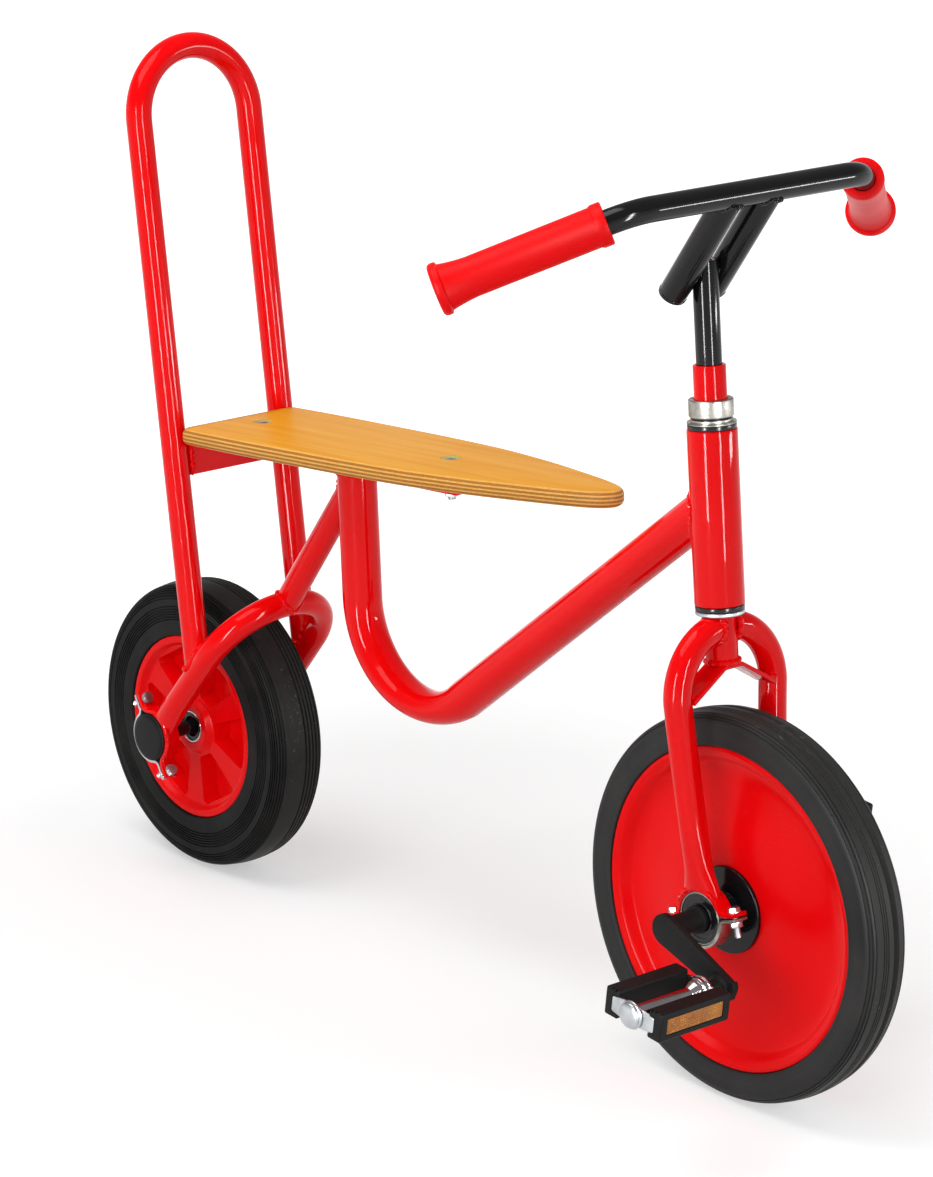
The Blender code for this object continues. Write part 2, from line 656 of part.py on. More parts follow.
def build_headset(frame, fork, bright, black):
    """Bushes in the head tube, the rings that run on them and the lock nut."""
    top = HEAD_TUBE_LOW + HEAD_TUBE_LENGTH
    inner = STEERER_RADIUS + RUNNING_CLEARANCE
    spigot = HEAD_TUBE_BORE - FIT
    outer = HEAD_TUBE_RADIUS - 0.0004
    low = HEAD_TUBE_LOW - FIT
    section = [(spigot, low + BUSH_DEPTH), (spigot, low), (outer, low), (outer, low - HEADSET_RING),
               (inner, low - HEADSET_RING), (inner, low + BUSH_DEPTH)]
    add_part("lower_headset_bush", turned_mesh("lower_headset_bush", section, 32), black, frame, STEERING)
    high = top + FIT
    section = [(outer, high + HEADSET_RING), (outer, high), (spigot, high), (spigot, high - BUSH_DEPTH),
               (inner, high - BUSH_DEPTH), (inner, high + HEADSET_RING)]
    add_part("upper_headset_bush", turned_mesh("upper_headset_bush", section, 32), black, frame, STEERING)
    ring_inner = STEERER_RADIUS + FIT
    race_top = low - HEADSET_RING - FIT
    section = ring_profile(ring_inner, outer - 0.0003, race_top - HEADSET_RING, race_top)
    add_part("crown_race", turned_mesh("crown_race", section, 32), bright, fork)
    race_low = high + HEADSET_RING + FIT
    section = ring_profile(ring_inner, outer - 0.0006, race_low, race_low + HEADSET_RING)
    add_part("upper_race", turned_mesh("upper_race", section, 32), bright, fork)
    nut_low = race_low + HEADSET_RING + FIT
    neck = 0.0015
    nut = [(LOCK_NUT_RADIUS - 0.001, nut_low + LOCK_NUT_HEIGHT), (LOCK_NUT_RADIUS, nut_low + LOCK_NUT_HEIGHT - 0.001),
           (LOCK_NUT_RADIUS, nut_low + neck), (LOCK_NUT_RADIUS - 0.0025, nut_low + neck),
           (LOCK_NUT_RADIUS - 0.0025, nut_low), (ring_inner, nut_low), (ring_inner, nut_low + LOCK_NUT_HEIGHT)]
    add_part("lock_nut", turned_mesh("lock_nut", nut, 32), bright, fork)
    return nut_low + LOCK_NUT_HEIGHT


def build_stem_and_bar(fork, collar_top, paint, black, rubber, bright):
    """Steerer, stem with its bolt, handlebar and grips."""
    section = ring_profile(STEERER_BORE, STEERER_RADIUS, STEERER_LOW, collar_top)
    add_part("steerer", turned_mesh("steerer", section, 32), paint, fork)
    post_low = collar_top - STEM_INSERTION
    post = rod_mesh("post", STEM_POST_RADIUS, post_low, STEM_POST_TOP, 24)
    pieces = [(post, Matrix())]
    bar_centre = Vector((BAR_REACH, 0, BAR_HEIGHT))
    for side in (-1, 1):
        low = Vector((STEM_ARM_LOW[0], side * STEM_ARM_Y, STEM_ARM_LOW[1]))
        high = bar_centre + Vector((0, side * STEM_ARM_Y, 0))
        turn = (high - low).to_track_quat("Z", "Y").to_matrix().to_4x4()
        arm = rod_mesh("arm", STEM_ARM_RADIUS, 0, (high - low).length, 24)
        pieces.append((arm, Matrix.Translation(low) @ turn))
    stem = add_part("stem_solid", united_mesh("stem", pieces), black)
    bore = rod_mesh("bolt_bore", STEM_BOLT_RADIUS + FIT, post_low - 0.01, STEM_POST_TOP + 0.01, 12)
    boolean(stem, add_cutter("bolt_bore", bore))
    bed = rod_mesh("bar_bed", BAR_RADIUS + FIT, -0.06, 0.06, 32)
    boolean(stem, add_cutter("bar_bed", bed, None, Matrix.Translation(bar_centre) @ ACROSS))
    bake_in_place(stem, "stem", black, fork)
    head = rod_mesh("head", 0.0075, STEM_POST_TOP + FIT, STEM_POST_TOP + 0.006, 6)
    shank = rod_mesh("shank", STEM_BOLT_RADIUS, post_low - 0.004, STEM_POST_TOP + 0.002, 12)
    wedge = rod_mesh("wedge", STEM_POST_RADIUS, post_low - 0.020, post_low - FIT, 24)
    bolt = united_mesh("stem_bolt", [(wedge, Matrix()), (shank, Matrix()), (head, Matrix())])
    add_part("stem_bolt", bolt, bright, fork)

    end = Vector(BAR_END)
    bend = Vector((BAR_REACH, BAR_BEND_Y, BAR_HEIGHT))
    along = (end - bend).normalized()
    stop = end - along * (GRIP_END_WALL + FIT)
    mirror = Matrix.Diagonal((1, -1, 1))
    corners = [mirror @ stop, mirror @ bend, bend, stop]
    tube_part("handlebar", filleted(corners, BAR_BEND_RADIUS, 7), BAR_RADIUS, black, fork)
    bore = BAR_RADIUS + FIT
    section = [
        (0, GRIP_LENGTH), (GRIP_FLARE_RADIUS - 0.002, GRIP_LENGTH), (GRIP_FLARE_RADIUS, GRIP_LENGTH - 0.003),
        (GRIP_FLARE_RADIUS - 0.002, GRIP_LENGTH - 0.009), (GRIP_RADIUS, GRIP_LENGTH - GRIP_FLARE_LENGTH),
        (GRIP_RADIUS, GRIP_COLLAR_LENGTH + 0.001), (GRIP_COLLAR_RADIUS, GRIP_COLLAR_LENGTH),
        (GRIP_COLLAR_RADIUS, 0), (bore, 0), (bore, GRIP_LENGTH - GRIP_END_WALL),
        (0, GRIP_LENGTH - GRIP_END_WALL),
    ]
    grip = turned_mesh("grip", section, 24, closed=False)
    for name, flip in (("grip_left", 1), ("grip_right", -1)):
        direction = Vector((along.x, along.y * flip, along.z))
        tip = Vector((end.x, end.y * flip, end.z))
        turn = direction.to_track_quat("Z", "Y").to_matrix().to_4x4()
        add_part(name, grip, rubber, fork, Matrix.Translation(tip - direction * GRIP_LENGTH) @ turn)


def build_front_bearings(fork, bright):
    """A ball bearing in each front clamp, modelled as one ring with a sunk seal."""
    half = BEARING_WIDTH / 2
    bore = AXLE_RADIUS + RUNNING_CLEARANCE
    ring_in = BEARING_RADIUS - 0.0025
    sink = 0.001
    face = [(bore, half - sink), (ring_in, half - sink), (ring_in, half), (BEARING_RADIUS, half)]
    mesh = turned_mesh("front_bearing", [*face, *[(r, -z) for r, z in face[::-1]]], 32)
    hub = Matrix.Translation((FORK_OFFSET, 0, 0))
    tilt = Matrix.Rotation(FRONT_CLAMP_TILT + HEAD_LEAN, 4, "Y")
    for side, sign in (("right", -1), ("left", 1)):
        place = hub @ Matrix.Translation((0, sign * FRONT_CLAMP_Y, 0)) @ tilt @ ACROSS
        add_part(f"front_bearing_{side}", mesh, bright, fork, place)


def crank_frame(side):
    """Where a pedal's axis meets the crank arm, from the front axle; the two arms are opposite."""
    angle = CRANK_ANGLE if side < 0 else CRANK_ANGLE + math.pi
    return Vector((CRANK_LENGTH * math.cos(angle), side * (CRANK_Y + CRANK_THICKNESS), CRANK_LENGTH * math.sin(angle)))


def build_crankshaft(parent, black):
    """Axle, two flat arms and the pedal spindles, welded into one shaft."""
    axle = rod_mesh("axle", AXLE_RADIUS, -CRANK_Y - 0.001, CRANK_Y + 0.001, 32)
    pieces = [(axle, ACROSS)]
    half = CRANK_WIDTH / 2
    outline = []
    for i in range(9):
        a = math.pi * (0.5 + i / 8)
        outline.append((half * math.cos(a), half * math.sin(a)))
    end = CRANK_LENGTH + CRANK_END
    corner = 0.006
    outline += [(end - corner, -half), (end - 0.002, corner - half), (end, -0.003),
                (end, 0.003), (end - 0.002, half - corner), (end - corner, half)]
    arm = plate_mesh("crank_arm", outline, CRANK_THICKNESS)
    for side in (-1, 1):
        angle = CRANK_ANGLE if side < 0 else CRANK_ANGLE + math.pi
        lift = Matrix.Translation((0, side * (CRANK_Y + CRANK_THICKNESS / 2), 0))
        pieces.append((arm, lift @ Matrix.Rotation(-angle, 4, "Y") @ ACROSS))
        length = PEDAL_GAP + PEDAL_LENGTH + PLATE_THICKNESS + 0.001
        spindle = rod_mesh("spindle", SPINDLE_RADIUS, -0.003, length, 16)
        root = Matrix.Translation(crank_frame(side))
        pieces.append((spindle, root @ (ACROSS if side < 0 else ACROSS.inverted())))
    add_part("crankshaft", united_mesh("crankshaft", pieces), black, parent)


def build_pedal(name, parent, side, bright, black, amber):
    """One pedal, made along +Z outwards from the crank arm, then turned to its side."""
    inner = PEDAL_GAP
    outer = inner + PEDAL_LENGTH
    bore = SPINDLE_RADIUS + RUNNING_CLEARANCE
    span = PLATE_HALF_SPAN
    half = PLATE_HEIGHT / 2
    tip = PLATE_TIP_HEIGHT / 2
    waist = PEDAL_CAP_RADIUS
    outline = [(span, tip), (waist, half), (-waist, half), (-span, tip),
               (-span, -tip), (-waist, -half), (waist, -half), (span, -tip)]
    plate = plate_mesh("pedal_plate", outline, PLATE_THICKNESS)
    barrel = rod_mesh("pedal_barrel", BARREL_RADIUS, inner, outer, 24)
    nut = rod_mesh("pedal_nut", BARREL_RADIUS + 0.004, inner, inner + 0.008, 6)
    cap = rod_mesh("pedal_cap", PEDAL_CAP_RADIUS, outer - 0.001, outer + PEDAL_CAP_LENGTH, 24, PEDAL_CAP_RADIUS - 0.004)
    cage = add_part("cage_solid", united_mesh("pedal_cage", [
        (barrel, Matrix()), (plate, Matrix.Translation((0, 0, inner + PLATE_THICKNESS / 2))),
        (plate, Matrix.Translation((0, 0, outer - PLATE_THICKNESS / 2))), (nut, Matrix()), (cap, Matrix()),
    ]), bright)
    drill = rod_mesh("spindle_bore", bore, -0.01, outer + PLATE_THICKNESS + 0.002, 24)
    boolean(cage, add_cutter("spindle_bore", drill))
    turn = Matrix.Rotation(-PEDAL_TILT, 4, "Y") @ (ACROSS if side < 0 else ACROSS.inverted())
    cage_mesh = baked_object_mesh(cage, "pedal_cage")
    add_part(f"pedal_cage_{name}", cage_mesh, bright, parent, turn)

    middle = inner + PEDAL_LENGTH / 2
    notch = box_mesh("plate_notch", (2 * (span + FIT), PLATE_HEIGHT + 2 * FIT, 2 * (PLATE_THICKNESS + FIT)))
    for where, facing in (("front", 1), ("rear", -1)):
        up = facing if side < 0 else -facing
        block = add_part("block_solid", box_mesh("pedal_block", (BLOCK_DEPTH, BLOCK_HEIGHT, PEDAL_LENGTH)), black)
        block.location = (up * BLOCK_OFFSET, 0, middle)
        bevel = block.modifiers.new("Bevel", "BEVEL")
        bevel.width = 0.0025
        bevel.segments = 1
        seat = box_mesh("reflector_seat", (2 * REFLECTOR_DEPTH, REFLECTOR_HEIGHT, REFLECTOR_LENGTH))
        face = up * (BLOCK_OFFSET + BLOCK_DEPTH / 2)
        boolean(block, add_cutter("reflector_seat", seat, None, Matrix.Translation((face, 0, middle))))
        for end in (inner, outer):
            boolean(block, add_cutter("plate_notch", notch, None, Matrix.Translation((0, 0, end))))
        solid = bake_in_place(block, "pedal_block", black, None)
        place_under(solid, parent, turn)
        solid.name = f"pedal_block_{name}_{where}"
        lens_depth = REFLECTOR_DEPTH - 2 * FIT
        lens = box_mesh("reflector", (lens_depth, REFLECTOR_HEIGHT - 2 * FIT, REFLECTOR_LENGTH - 2 * FIT))
        lens_place = Matrix.Translation((face - up * (REFLECTOR_DEPTH - FIT - lens_depth / 2), 0, middle))
        add_part(f"pedal_reflector_{name}_{where}", lens, amber, parent, turn @ lens_place)


def seat_outline():
    """The whole outline of the seat board, from the half that is given as points."""
    half = list(SEAT_OUTLINE)
    other = [(x, -y) for x, y in half[-2:0:-1]]
    return half + other


def build_seat(root, paint, wood, bright):
    """Plywood board, the rail and crossbar that carry it, and its two bolts."""
    bolts = ((0.0, 0.0), (SEAT_BOLT_SPACING, 0.0))
    holes = [(x, y, SEAT_BOLT_RADIUS + FIT) for x, y in bolts]
    board = plate_mesh("seat_board", seat_outline(), SEAT_THICKNESS, holes)
    solid = add_part("seat_board", board, wood, root, SEAT @ Matrix.Translation((0, 0, -SEAT_THICKNESS / 2)))
    rounding = solid.modifiers.new("Bevel", "BEVEL")
    rounding.width = SEAT_EDGE_ROUND
    rounding.segments = 2
    rounding.limit_method = "WEIGHT"
    weights = board.attributes.new("bevel_weight_edge", "FLOAT", "EDGE")
    for edge in board.edges:
        ends = [board.vertices[i].co for i in edge.vertices]
        flat = abs(ends[0].z - ends[1].z) < 0.0001
        rim = min(math.hypot(end.x - x, end.y) for end in ends for x, y in bolts) > 0.02
        outer = all(abs(end.y) > 0.004 or end.x > 0.48 or end.x < -0.04 for end in ends)
        weights.data[edge.index].value = 1.0 if flat and rim and outer and edge_on_rim(board, edge) else 0.0
    recess = rod_mesh("cup_recess", SEAT_BOLT_CUP_RADIUS + FIT, -SEAT_BOLT_CUP_DEPTH, 0.01, 24)
    for x, y in bolts:
        boolean(solid, add_cutter("cup_recess", recess, None, SEAT @ Matrix.Translation((x, y, 0))))

    under = -SEAT_THICKNESS - FIT
    rail_front = SEAT_BOLT_SPACING + SEAT_RAIL_NOSE
    rail_length = rail_front - SEAT_RAIL_REAR
    rail = add_part("seat_rail", box_mesh("seat_rail", (rail_length, SEAT_RAIL_WIDTH, SEAT_RAIL_HEIGHT)), paint, root,
                    SEAT @ Matrix.Translation(((rail_front + SEAT_RAIL_REAR) / 2, 0, under - SEAT_RAIL_HEIGHT / 2)))
    drill = rod_mesh("bolt_hole", SEAT_BOLT_RADIUS + FIT, -0.06, 0.0, 12)
    front_place = SEAT @ Matrix.Translation((SEAT_BOLT_SPACING, 0, 0))
    boolean(rail, add_cutter("bolt_hole", drill, None, front_place))

    reach = BACKREST_HALF_SPACING - SMALL_TUBE_RADIUS - FIT
    thick = CROSSBAR_THICKNESS
    angle = [(CROSSBAR_REAR, under), (CROSSBAR_REAR, under - CROSSBAR_DROP), (CROSSBAR_REAR + thick, under - CROSSBAR_DROP),
             (CROSSBAR_REAR + thick, under - thick), (CROSSBAR_FRONT, under - thick), (CROSSBAR_FRONT, under)]
    mesh = plate_mesh("seat_crossbar", angle, 2 * reach)
    mesh.transform(ACROSS)
    crossbar = add_part("seat_crossbar", mesh, paint, root, SEAT)
    boolean(crossbar, add_cutter("bolt_hole", drill, None, SEAT))

    for name, place, stack in (("rear", SEAT, thick), ("front", front_place, SEAT_RAIL_HEIGHT)):
        low = under - stack
        cup = rod_mesh("cup", SEAT_BOLT_CUP_RADIUS, FIT - SEAT_BOLT_CUP_DEPTH, -FIT, 24)
        shank = rod_mesh("shank", SEAT_BOLT_RADIUS, low - 0.0085, -2 * FIT, 12)
        nut = rod_mesh("nut", 0.0068, low - FIT - 0.0045, low - FIT, 6)
        bolt = united_mesh("seat_bolt", [(cup, Matrix()), (shank, Matrix()), (nut, Matrix())])
        add_part(f"seat_bolt_{name}", bolt, bright, root, place)


def edge_on_rim(mesh, edge):
    """Whether an edge borders both a flat face and the board's side."""
    key = tuple(sorted(edge.vertices))
    normals = [face.normal.z for face in mesh.polygons if key in face.edge_keys]
    return len(normals) == 2 and min(abs(n) for n in normals) < 0.5 < max(abs(n) for n in normals)


def cope_to(obj, name, start, end, radius):
    """Cut a piece so that it fits round a straight tube from start to end."""
    along = Vector(end) - Vector(start)
    turn = along.to_track_quat("Z", "Y").to_matrix().to_4x4()
    mesh = rod_mesh(name, radius, 0, along.length, 48)
    boolean(obj, add_cutter(name, mesh, None, Matrix.Translation(start) @ turn))


def stay_path():
    """Centre line of the right half of the rear stay, from its clamp to the middle of its bend."""
    apex = Vector((REAR_AXLE_X + STAY_APEX[0], 0, STAY_APEX[1]))
    uphill = Vector((math.cos(STAY_TILT), 0, math.sin(STAY_TILT)))
    tangent = apex - uphill * STAY_HALF_SPACING
    foot = Vector((REAR_AXLE_X, -REAR_CLAMP_Y, REAR_WHEEL_RADIUS))
    knee = tangent + Vector((0, -STAY_HALF_SPACING, 0))
    leg = [foot.lerp(knee, share) for share in (0.0, 0.12, 0.24, 0.36, 0.5, 0.75)]
    turns = 9
    bend = [
        tangent + uphill * STAY_HALF_SPACING * math.sin(a) - Vector((0, STAY_HALF_SPACING * math.cos(a), 0))
        for a in (math.pi / 2 * i / turns for i in range(turns + 1))
    ]
    return leg + bend, foot, knee, apex


def build_frame(root, paint, shell):
    """Main tube, head tube, stays and backrest."""
    joint = STEERING @ Vector((0, 0, DOWN_TUBE_JOINT))
    forward = Vector((math.cos(DOWN_TUBE_ANGLE), 0, math.sin(DOWN_TUBE_ANGLE)))
    under_rail = -SEAT_THICKNESS - SEAT_RAIL_HEIGHT - 2 * FIT
    top = SEAT @ Vector((SEAT_TUBE_PLACE, 0, under_rail))
    down = (SEAT.to_3x3() @ Vector((0, 0, -1))).normalized()
    share = down.x * forward.z - down.z * forward.x
    run = ((joint.x - top.x) * forward.z - (joint.z - top.z) * forward.x) / share
    corner = top + down * run
    path = filleted([top, corner, joint], MAIN_BEND_RADIUS, 14)
    count = len(path)
    radii = []
    for i in range(count):
        bend = math.sin(math.pi * min(max((i - 1) / (count - 3), 0), 1)) ** 0.7
        squash = 1 - (1 - MAIN_BEND_SQUASH) * bend
        radii.append((MAIN_TUBE_RADIUS * (1 + 0.5 * (1 - squash)), MAIN_TUBE_RADIUS * squash))
    mesh = loft_mesh("main_tube", path, Vector((0, 1, 0)), radii, 20)
    main = add_part("main_tube_solid", mesh, paint)
    cope_to(main, "head_tube_cope", STEERING @ Vector((0, 0, 0.2)), STEERING @ Vector((0, 0, 0.5)),
            HEAD_TUBE_RADIUS + FIT)
    bake_in_place(main, "main_tube", paint, root)

    section = ring_profile(HEAD_TUBE_BORE, HEAD_TUBE_RADIUS, HEAD_TUBE_LOW, HEAD_TUBE_LOW + HEAD_TUBE_LENGTH)
    add_part("head_tube", turned_mesh("head_tube", section, 32), paint, root, STEERING)

    half, foot, knee, apex = stay_path()
    path = half + [Vector((p.x, -p.y, p.z)) for p in half[-2::-1]]
    flat = [max(0.0, 1 - i / 4) for i in range(len(half))]
    half_radii = [(SMALL_TUBE_RADIUS + (FLATTENED_HALF_WIDTH - SMALL_TUBE_RADIUS) * f,
                   SMALL_TUBE_RADIUS + (FLATTENED_HALF_THICKNESS - SMALL_TUBE_RADIUS) * f) for f in flat]
    radii = half_radii + half_radii[-2::-1]
    normal = Vector((-math.sin(STAY_TILT), 0, math.cos(STAY_TILT)))
    mesh = loft_mesh("rear_stay", path, normal, radii)
    stay = add_part("rear_stay_solid", mesh, paint)
    for side in (-1, 1):
        frame = REAR_HUB @ Matrix.Translation((0, side * REAR_CLAMP_Y, 0)) @ Matrix.Rotation(REAR_CLAMP_TILT, 4, "Y")
        cope = rod_mesh("clamp_cope", SHELL_RADIUS - 0.0006, -0.03, 0.03, 48)
        boolean(stay, add_cutter("clamp_cope", cope, None, frame @ ACROSS))
        boolean(stay, add_cutter("clamp_shell", shell, None, frame), "UNION")
    bake_in_place(stay, "rear_stay", paint, root)

    rear_face = top + down * (top.z - SEAT_STAY_TOP)
    upper = Vector((rear_face.x, 0, SEAT_STAY_TOP))
    mesh = loft_mesh("seat_stay", [apex, upper], Vector((0, 1, 0)), [(SMALL_TUBE_RADIUS,) * 2] * 2)
    seat_stay = add_part("seat_stay_solid", mesh, paint)
    cope_to(seat_stay, "main_tube_cope", top - down * 0.05, top + down * 0.12, MAIN_TUBE_RADIUS + FIT)
    guard = loft_mesh("stay_guard", path, normal, [(a + FIT, b + FIT) for a, b in radii], 32)
    boolean(seat_stay, add_cutter("stay_guard", guard))
    ceiling = box_mesh("rail_guard", (0.30, 0.10, 0.10))
    place = SEAT @ Matrix.Translation((SEAT_TUBE_PLACE, 0, under_rail + 0.05))
    boolean(seat_stay, add_cutter("rail_guard", ceiling, None, place))
    bake_in_place(seat_stay, "seat_stay", paint, root)

    lean = math.tan(BACKREST_LEAN)
    back_x = REAR_AXLE_X - BACKREST_BEND_SETBACK
    direction = Vector((-math.sin(BACKREST_LEAN), 0, math.cos(BACKREST_LEAN)))
    bend_centre = Vector((back_x, 0, BACKREST_BEND_HEIGHT))
    meet = meeting_height(back_x, lean, foot, knee)
    low = Vector((back_x + (BACKREST_BEND_HEIGHT - meet) * lean, 0, meet))
    turns = 14
    points = [low + Vector((0, -BACKREST_HALF_SPACING, 0))]
    for i in range(turns + 1):
        a = math.pi * i / turns
        points.append(bend_centre + direction * BACKREST_HALF_SPACING * math.sin(a)
                      - Vector((0, BACKREST_HALF_SPACING * math.cos(a), 0)))
    points.append(low + Vector((0, BACKREST_HALF_SPACING, 0)))
    loop = tube_part("backrest_solid", points, SMALL_TUBE_RADIUS, paint)
    boolean(loop, bpy.data.objects["stay_guard"])
    bake_in_place(loop, "backrest_loop", paint, root)


def meeting_height(back_x, lean, foot, knee):
    """Height at which the backrest's line crosses the stay's leg, seen from the side."""
    slope = (knee.z - foot.z) / (knee.x - foot.x)
    return (foot.z + slope * (back_x + BACKREST_BEND_HEIGHT * lean - foot.x)) / (1 + slope * lean)


def main():
    """Build the bicycle."""
    clear_scene()
    paint = finish("red_paint", (0.78, 0.012, 0.018), 0.22)
    black = finish("black_paint", (0.016, 0.016, 0.017), 0.38)
    tyre = finish("tyre_rubber", (0.022, 0.021, 0.022), 0.62)
    grip = finish("red_grip", (0.80, 0.020, 0.026), 0.50)
    wood = finish("birch_plywood", (0.80, 0.47, 0.14), 0.42)
    zinc = finish("zinc", (0.62, 0.61, 0.58), 0.32, 1.0)
    chrome = finish("chrome", (0.80, 0.80, 0.80), 0.12, 1.0)
    plastic = finish("black_plastic", (0.020, 0.020, 0.021), 0.55)
    amber = finish("amber_reflector", (0.85, 0.36, 0.02), 0.25)

    root = bpy.data.objects.new("frame", None)
    PARTS.objects.link(root)
    fork = new_frame("fork", STEERING, root, Matrix())
    front = new_frame("front_hub", FRONT_HUB, fork, STEERING)
    rear = new_frame("rear_hub", REAR_HUB, root, Matrix())

    shell = clamp_half_mesh("clamp_shell", SHELL_THICKNESS, True)
    strap = clamp_half_mesh("clamp_strap", STRAP_THICKNESS, False)
    gap = CLAMP_GAP / 2
    bolt = bolt_mesh("clamp_bolt", CLAMP_BOLT_RADIUS, -gap - STRAP_THICKNESS, gap + SHELL_THICKNESS,
                     CLAMP_BOLT_TAIL, CLAMP_BOLT_HEAD)

    build_frame(root, paint, shell)
    build_seat(root, paint, wood, zinc)
    collar = build_headset(root, fork, zinc, plastic) + STEERER_COLLAR
    build_stem_and_bar(fork, collar, paint, black, grip, zinc)
    build_fork(fork, paint, shell)
    build_front_bearings(fork, zinc)
    tilt = FRONT_CLAMP_TILT + HEAD_LEAN
    build_clamp("front", Matrix.Translation((FORK_OFFSET, 0, 0)), tilt, FRONT_CLAMP_Y, fork, strap, bolt, zinc)
    build_clamp("rear", REAR_HUB, REAR_CLAMP_TILT, REAR_CLAMP_Y, root, strap, bolt, zinc)

    section = ring_profile(AXLE_RADIUS + FIT, BEARING_RADIUS, -REAR_BUSH_WIDTH / 2, REAR_BUSH_WIDTH / 2)
    bush = turned_mesh("rear_bush", section, 32)
    tilt = Matrix.Rotation(REAR_CLAMP_TILT, 4, "Y")
    for side, sign in (("right", -1), ("left", 1)):
        place = REAR_HUB @ Matrix.Translation((0, sign * REAR_CLAMP_Y, 0)) @ tilt @ ACROSS
        add_part(f"rear_bush_{side}", bush, plastic, root, place)
    reach = REAR_CLAMP_Y + REAR_BUSH_WIDTH / 2 + 0.001
    add_part("rear_axle", rod_mesh("rear_axle", AXLE_RADIUS, -reach, reach, 32), black, root, REAR_HUB @ ACROSS)

    build_front_wheel(front, paint, tyre, black)
    build_crankshaft(front, black)
    build_rear_wheel(rear, paint, tyre, chrome)
    for name, side in (("right", -1), ("left", 1)):
        place = Matrix.Translation(crank_frame(side))
        pedal = new_frame(f"pedal_{name}", FRONT_HUB @ place, front, FRONT_HUB)
        build_pedal(name, pedal, side, chrome, plastic, amber)


main()
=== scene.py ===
"""Looks of a kids bicycle: powder-coated frame, plywood seat board, solid tyres, pedals on the front axle.

Metres, +Z up, +X forwards. Every piece is modelled at its real size, in its own frame, then put in place.
"""
import json
import math

import bpy
from mathutils import Matrix, Vector, noise
from mathutils.bvhtree import BVHTree


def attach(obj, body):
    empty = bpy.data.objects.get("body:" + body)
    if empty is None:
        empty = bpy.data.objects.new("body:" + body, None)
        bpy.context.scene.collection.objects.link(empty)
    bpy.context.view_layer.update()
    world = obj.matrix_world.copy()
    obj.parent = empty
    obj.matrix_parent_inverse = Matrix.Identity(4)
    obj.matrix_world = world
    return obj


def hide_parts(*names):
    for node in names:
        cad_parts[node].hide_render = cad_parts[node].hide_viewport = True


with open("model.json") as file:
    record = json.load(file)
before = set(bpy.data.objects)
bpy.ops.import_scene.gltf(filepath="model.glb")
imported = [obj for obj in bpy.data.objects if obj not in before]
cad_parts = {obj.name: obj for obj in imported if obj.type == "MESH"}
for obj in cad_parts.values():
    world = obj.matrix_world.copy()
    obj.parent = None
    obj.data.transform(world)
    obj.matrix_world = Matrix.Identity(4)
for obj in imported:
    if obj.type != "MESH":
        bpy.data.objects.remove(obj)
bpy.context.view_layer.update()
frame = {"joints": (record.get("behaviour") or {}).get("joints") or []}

# Gap between fitted pieces, edge angles in degrees that are shaded smooth, and a whole turn
FIT = 0.0003
SMOOTH_ANGLE = 32.0
TYRE_SMOOTH = 24.0
PEDAL_SMOOTH = 38.0
SOFT_SMOOTH = 40.0
FULL_TURN = 2 * math.pi

# Places of the joints, which the wheels, the fork and the pedals turn about
JOINTS = {joint["name"]: joint for joint in frame["joints"]}
FORWARD = Vector((1, 0, 0))
LEFT = Vector((0, 1, 0))
SIDES = (("right", -1), ("left", 1))


def shift(x, y, z):
    """A place that is moved and not turned."""
    return Matrix.Translation((x, y, z))


def joint_place(name):
    """A joint's point, as a shift from the origin."""
    return Matrix.Translation(JOINTS[name]["pos_m"])


def steering_frame():
    """Origin at the foot of the steering axis, Z up along it and X forwards."""
    up = Vector(JOINTS["steering"]["axis"]).normalized()
    turn = Matrix((LEFT.cross(up), LEFT, up)).transposed().to_4x4()
    return joint_place("steering") @ turn


FRONT_HUB = joint_place("front_wheel_spin")
REAR_HUB = joint_place("rear_wheel_spin")
STEERING = steering_frame()
ACROSS = Matrix.Rotation(math.pi / 2, 4, "X")
OUTWARDS = {-1: ACROSS, 1: ACROSS.inverted()}

# Wheels
FRONT_RADIUS = 0.175
FRONT_WIDTH = 0.046
FRONT_SHOULDER = 0.010
FRONT_RIM = 0.145
REAR_RADIUS = 0.144
REAR_WIDTH = 0.059
REAR_SHOULDER = 0.014
REAR_RIM = 0.092
RIM_RECESS = 0.0015
RIM_ROLL = 0.0026
RIM_CURL = 0.0012
TREAD_CROWN = 0.0015
DISC_BORE_RADIUS = 0.030
DISC_VALLEY_RADIUS = 0.117
DISC_VALLEY_DEPTH = 0.0105
DISC_CROWN_RADIUS = 0.045
DISC_CROWN_HALF = 0.0185
DISC_VALLEY_WIDTH = 0.010
DISC_LIP_WIDTH = 0.0065
DISC_STEPS = 160
TYRE_STEPS = 176
REAR_WHEEL_STEPS = 144
FLANGE_RADIUS = 0.039
FLANGE_THICKNESS = 0.0035
FLANGE_COLLAR_WALL = 0.0062
FLANGE_COLLAR_HEIGHT = 0.0042
REAR_FACE_HALF = 0.0215
REAR_HUB_HALF = 0.0274
REAR_HUB_RADIUS = 0.027
POCKET_COUNT = 6
POCKET_RADII = (0.034, 0.080)
POCKET_HALF_ANGLES = (math.radians(15.0), math.radians(19.0))
POCKET_CORNERS = (0.003, 0.005)
POCKET_WEB = 0.007
POCKET_DRAFT = (1.10, 1.12, 1)
HUB_BEARING_RADIUS = 0.016
HUB_BEARING_WIDTH = 0.007

# Rows of tyre grooves: first distance along the section from its bore, spacing and count
FRONT_GROOVES = ((0.0258, 0.0030, 3), (0.0400, 0.0024, 3))
REAR_GROOVES = ((0.0175, 0.0026, 6), (0.0385, 0.0026, 7))
REAR_FAR_GROOVES = ((0.0200, 0.0030, 4), (0.0492, 0.0046, 6))

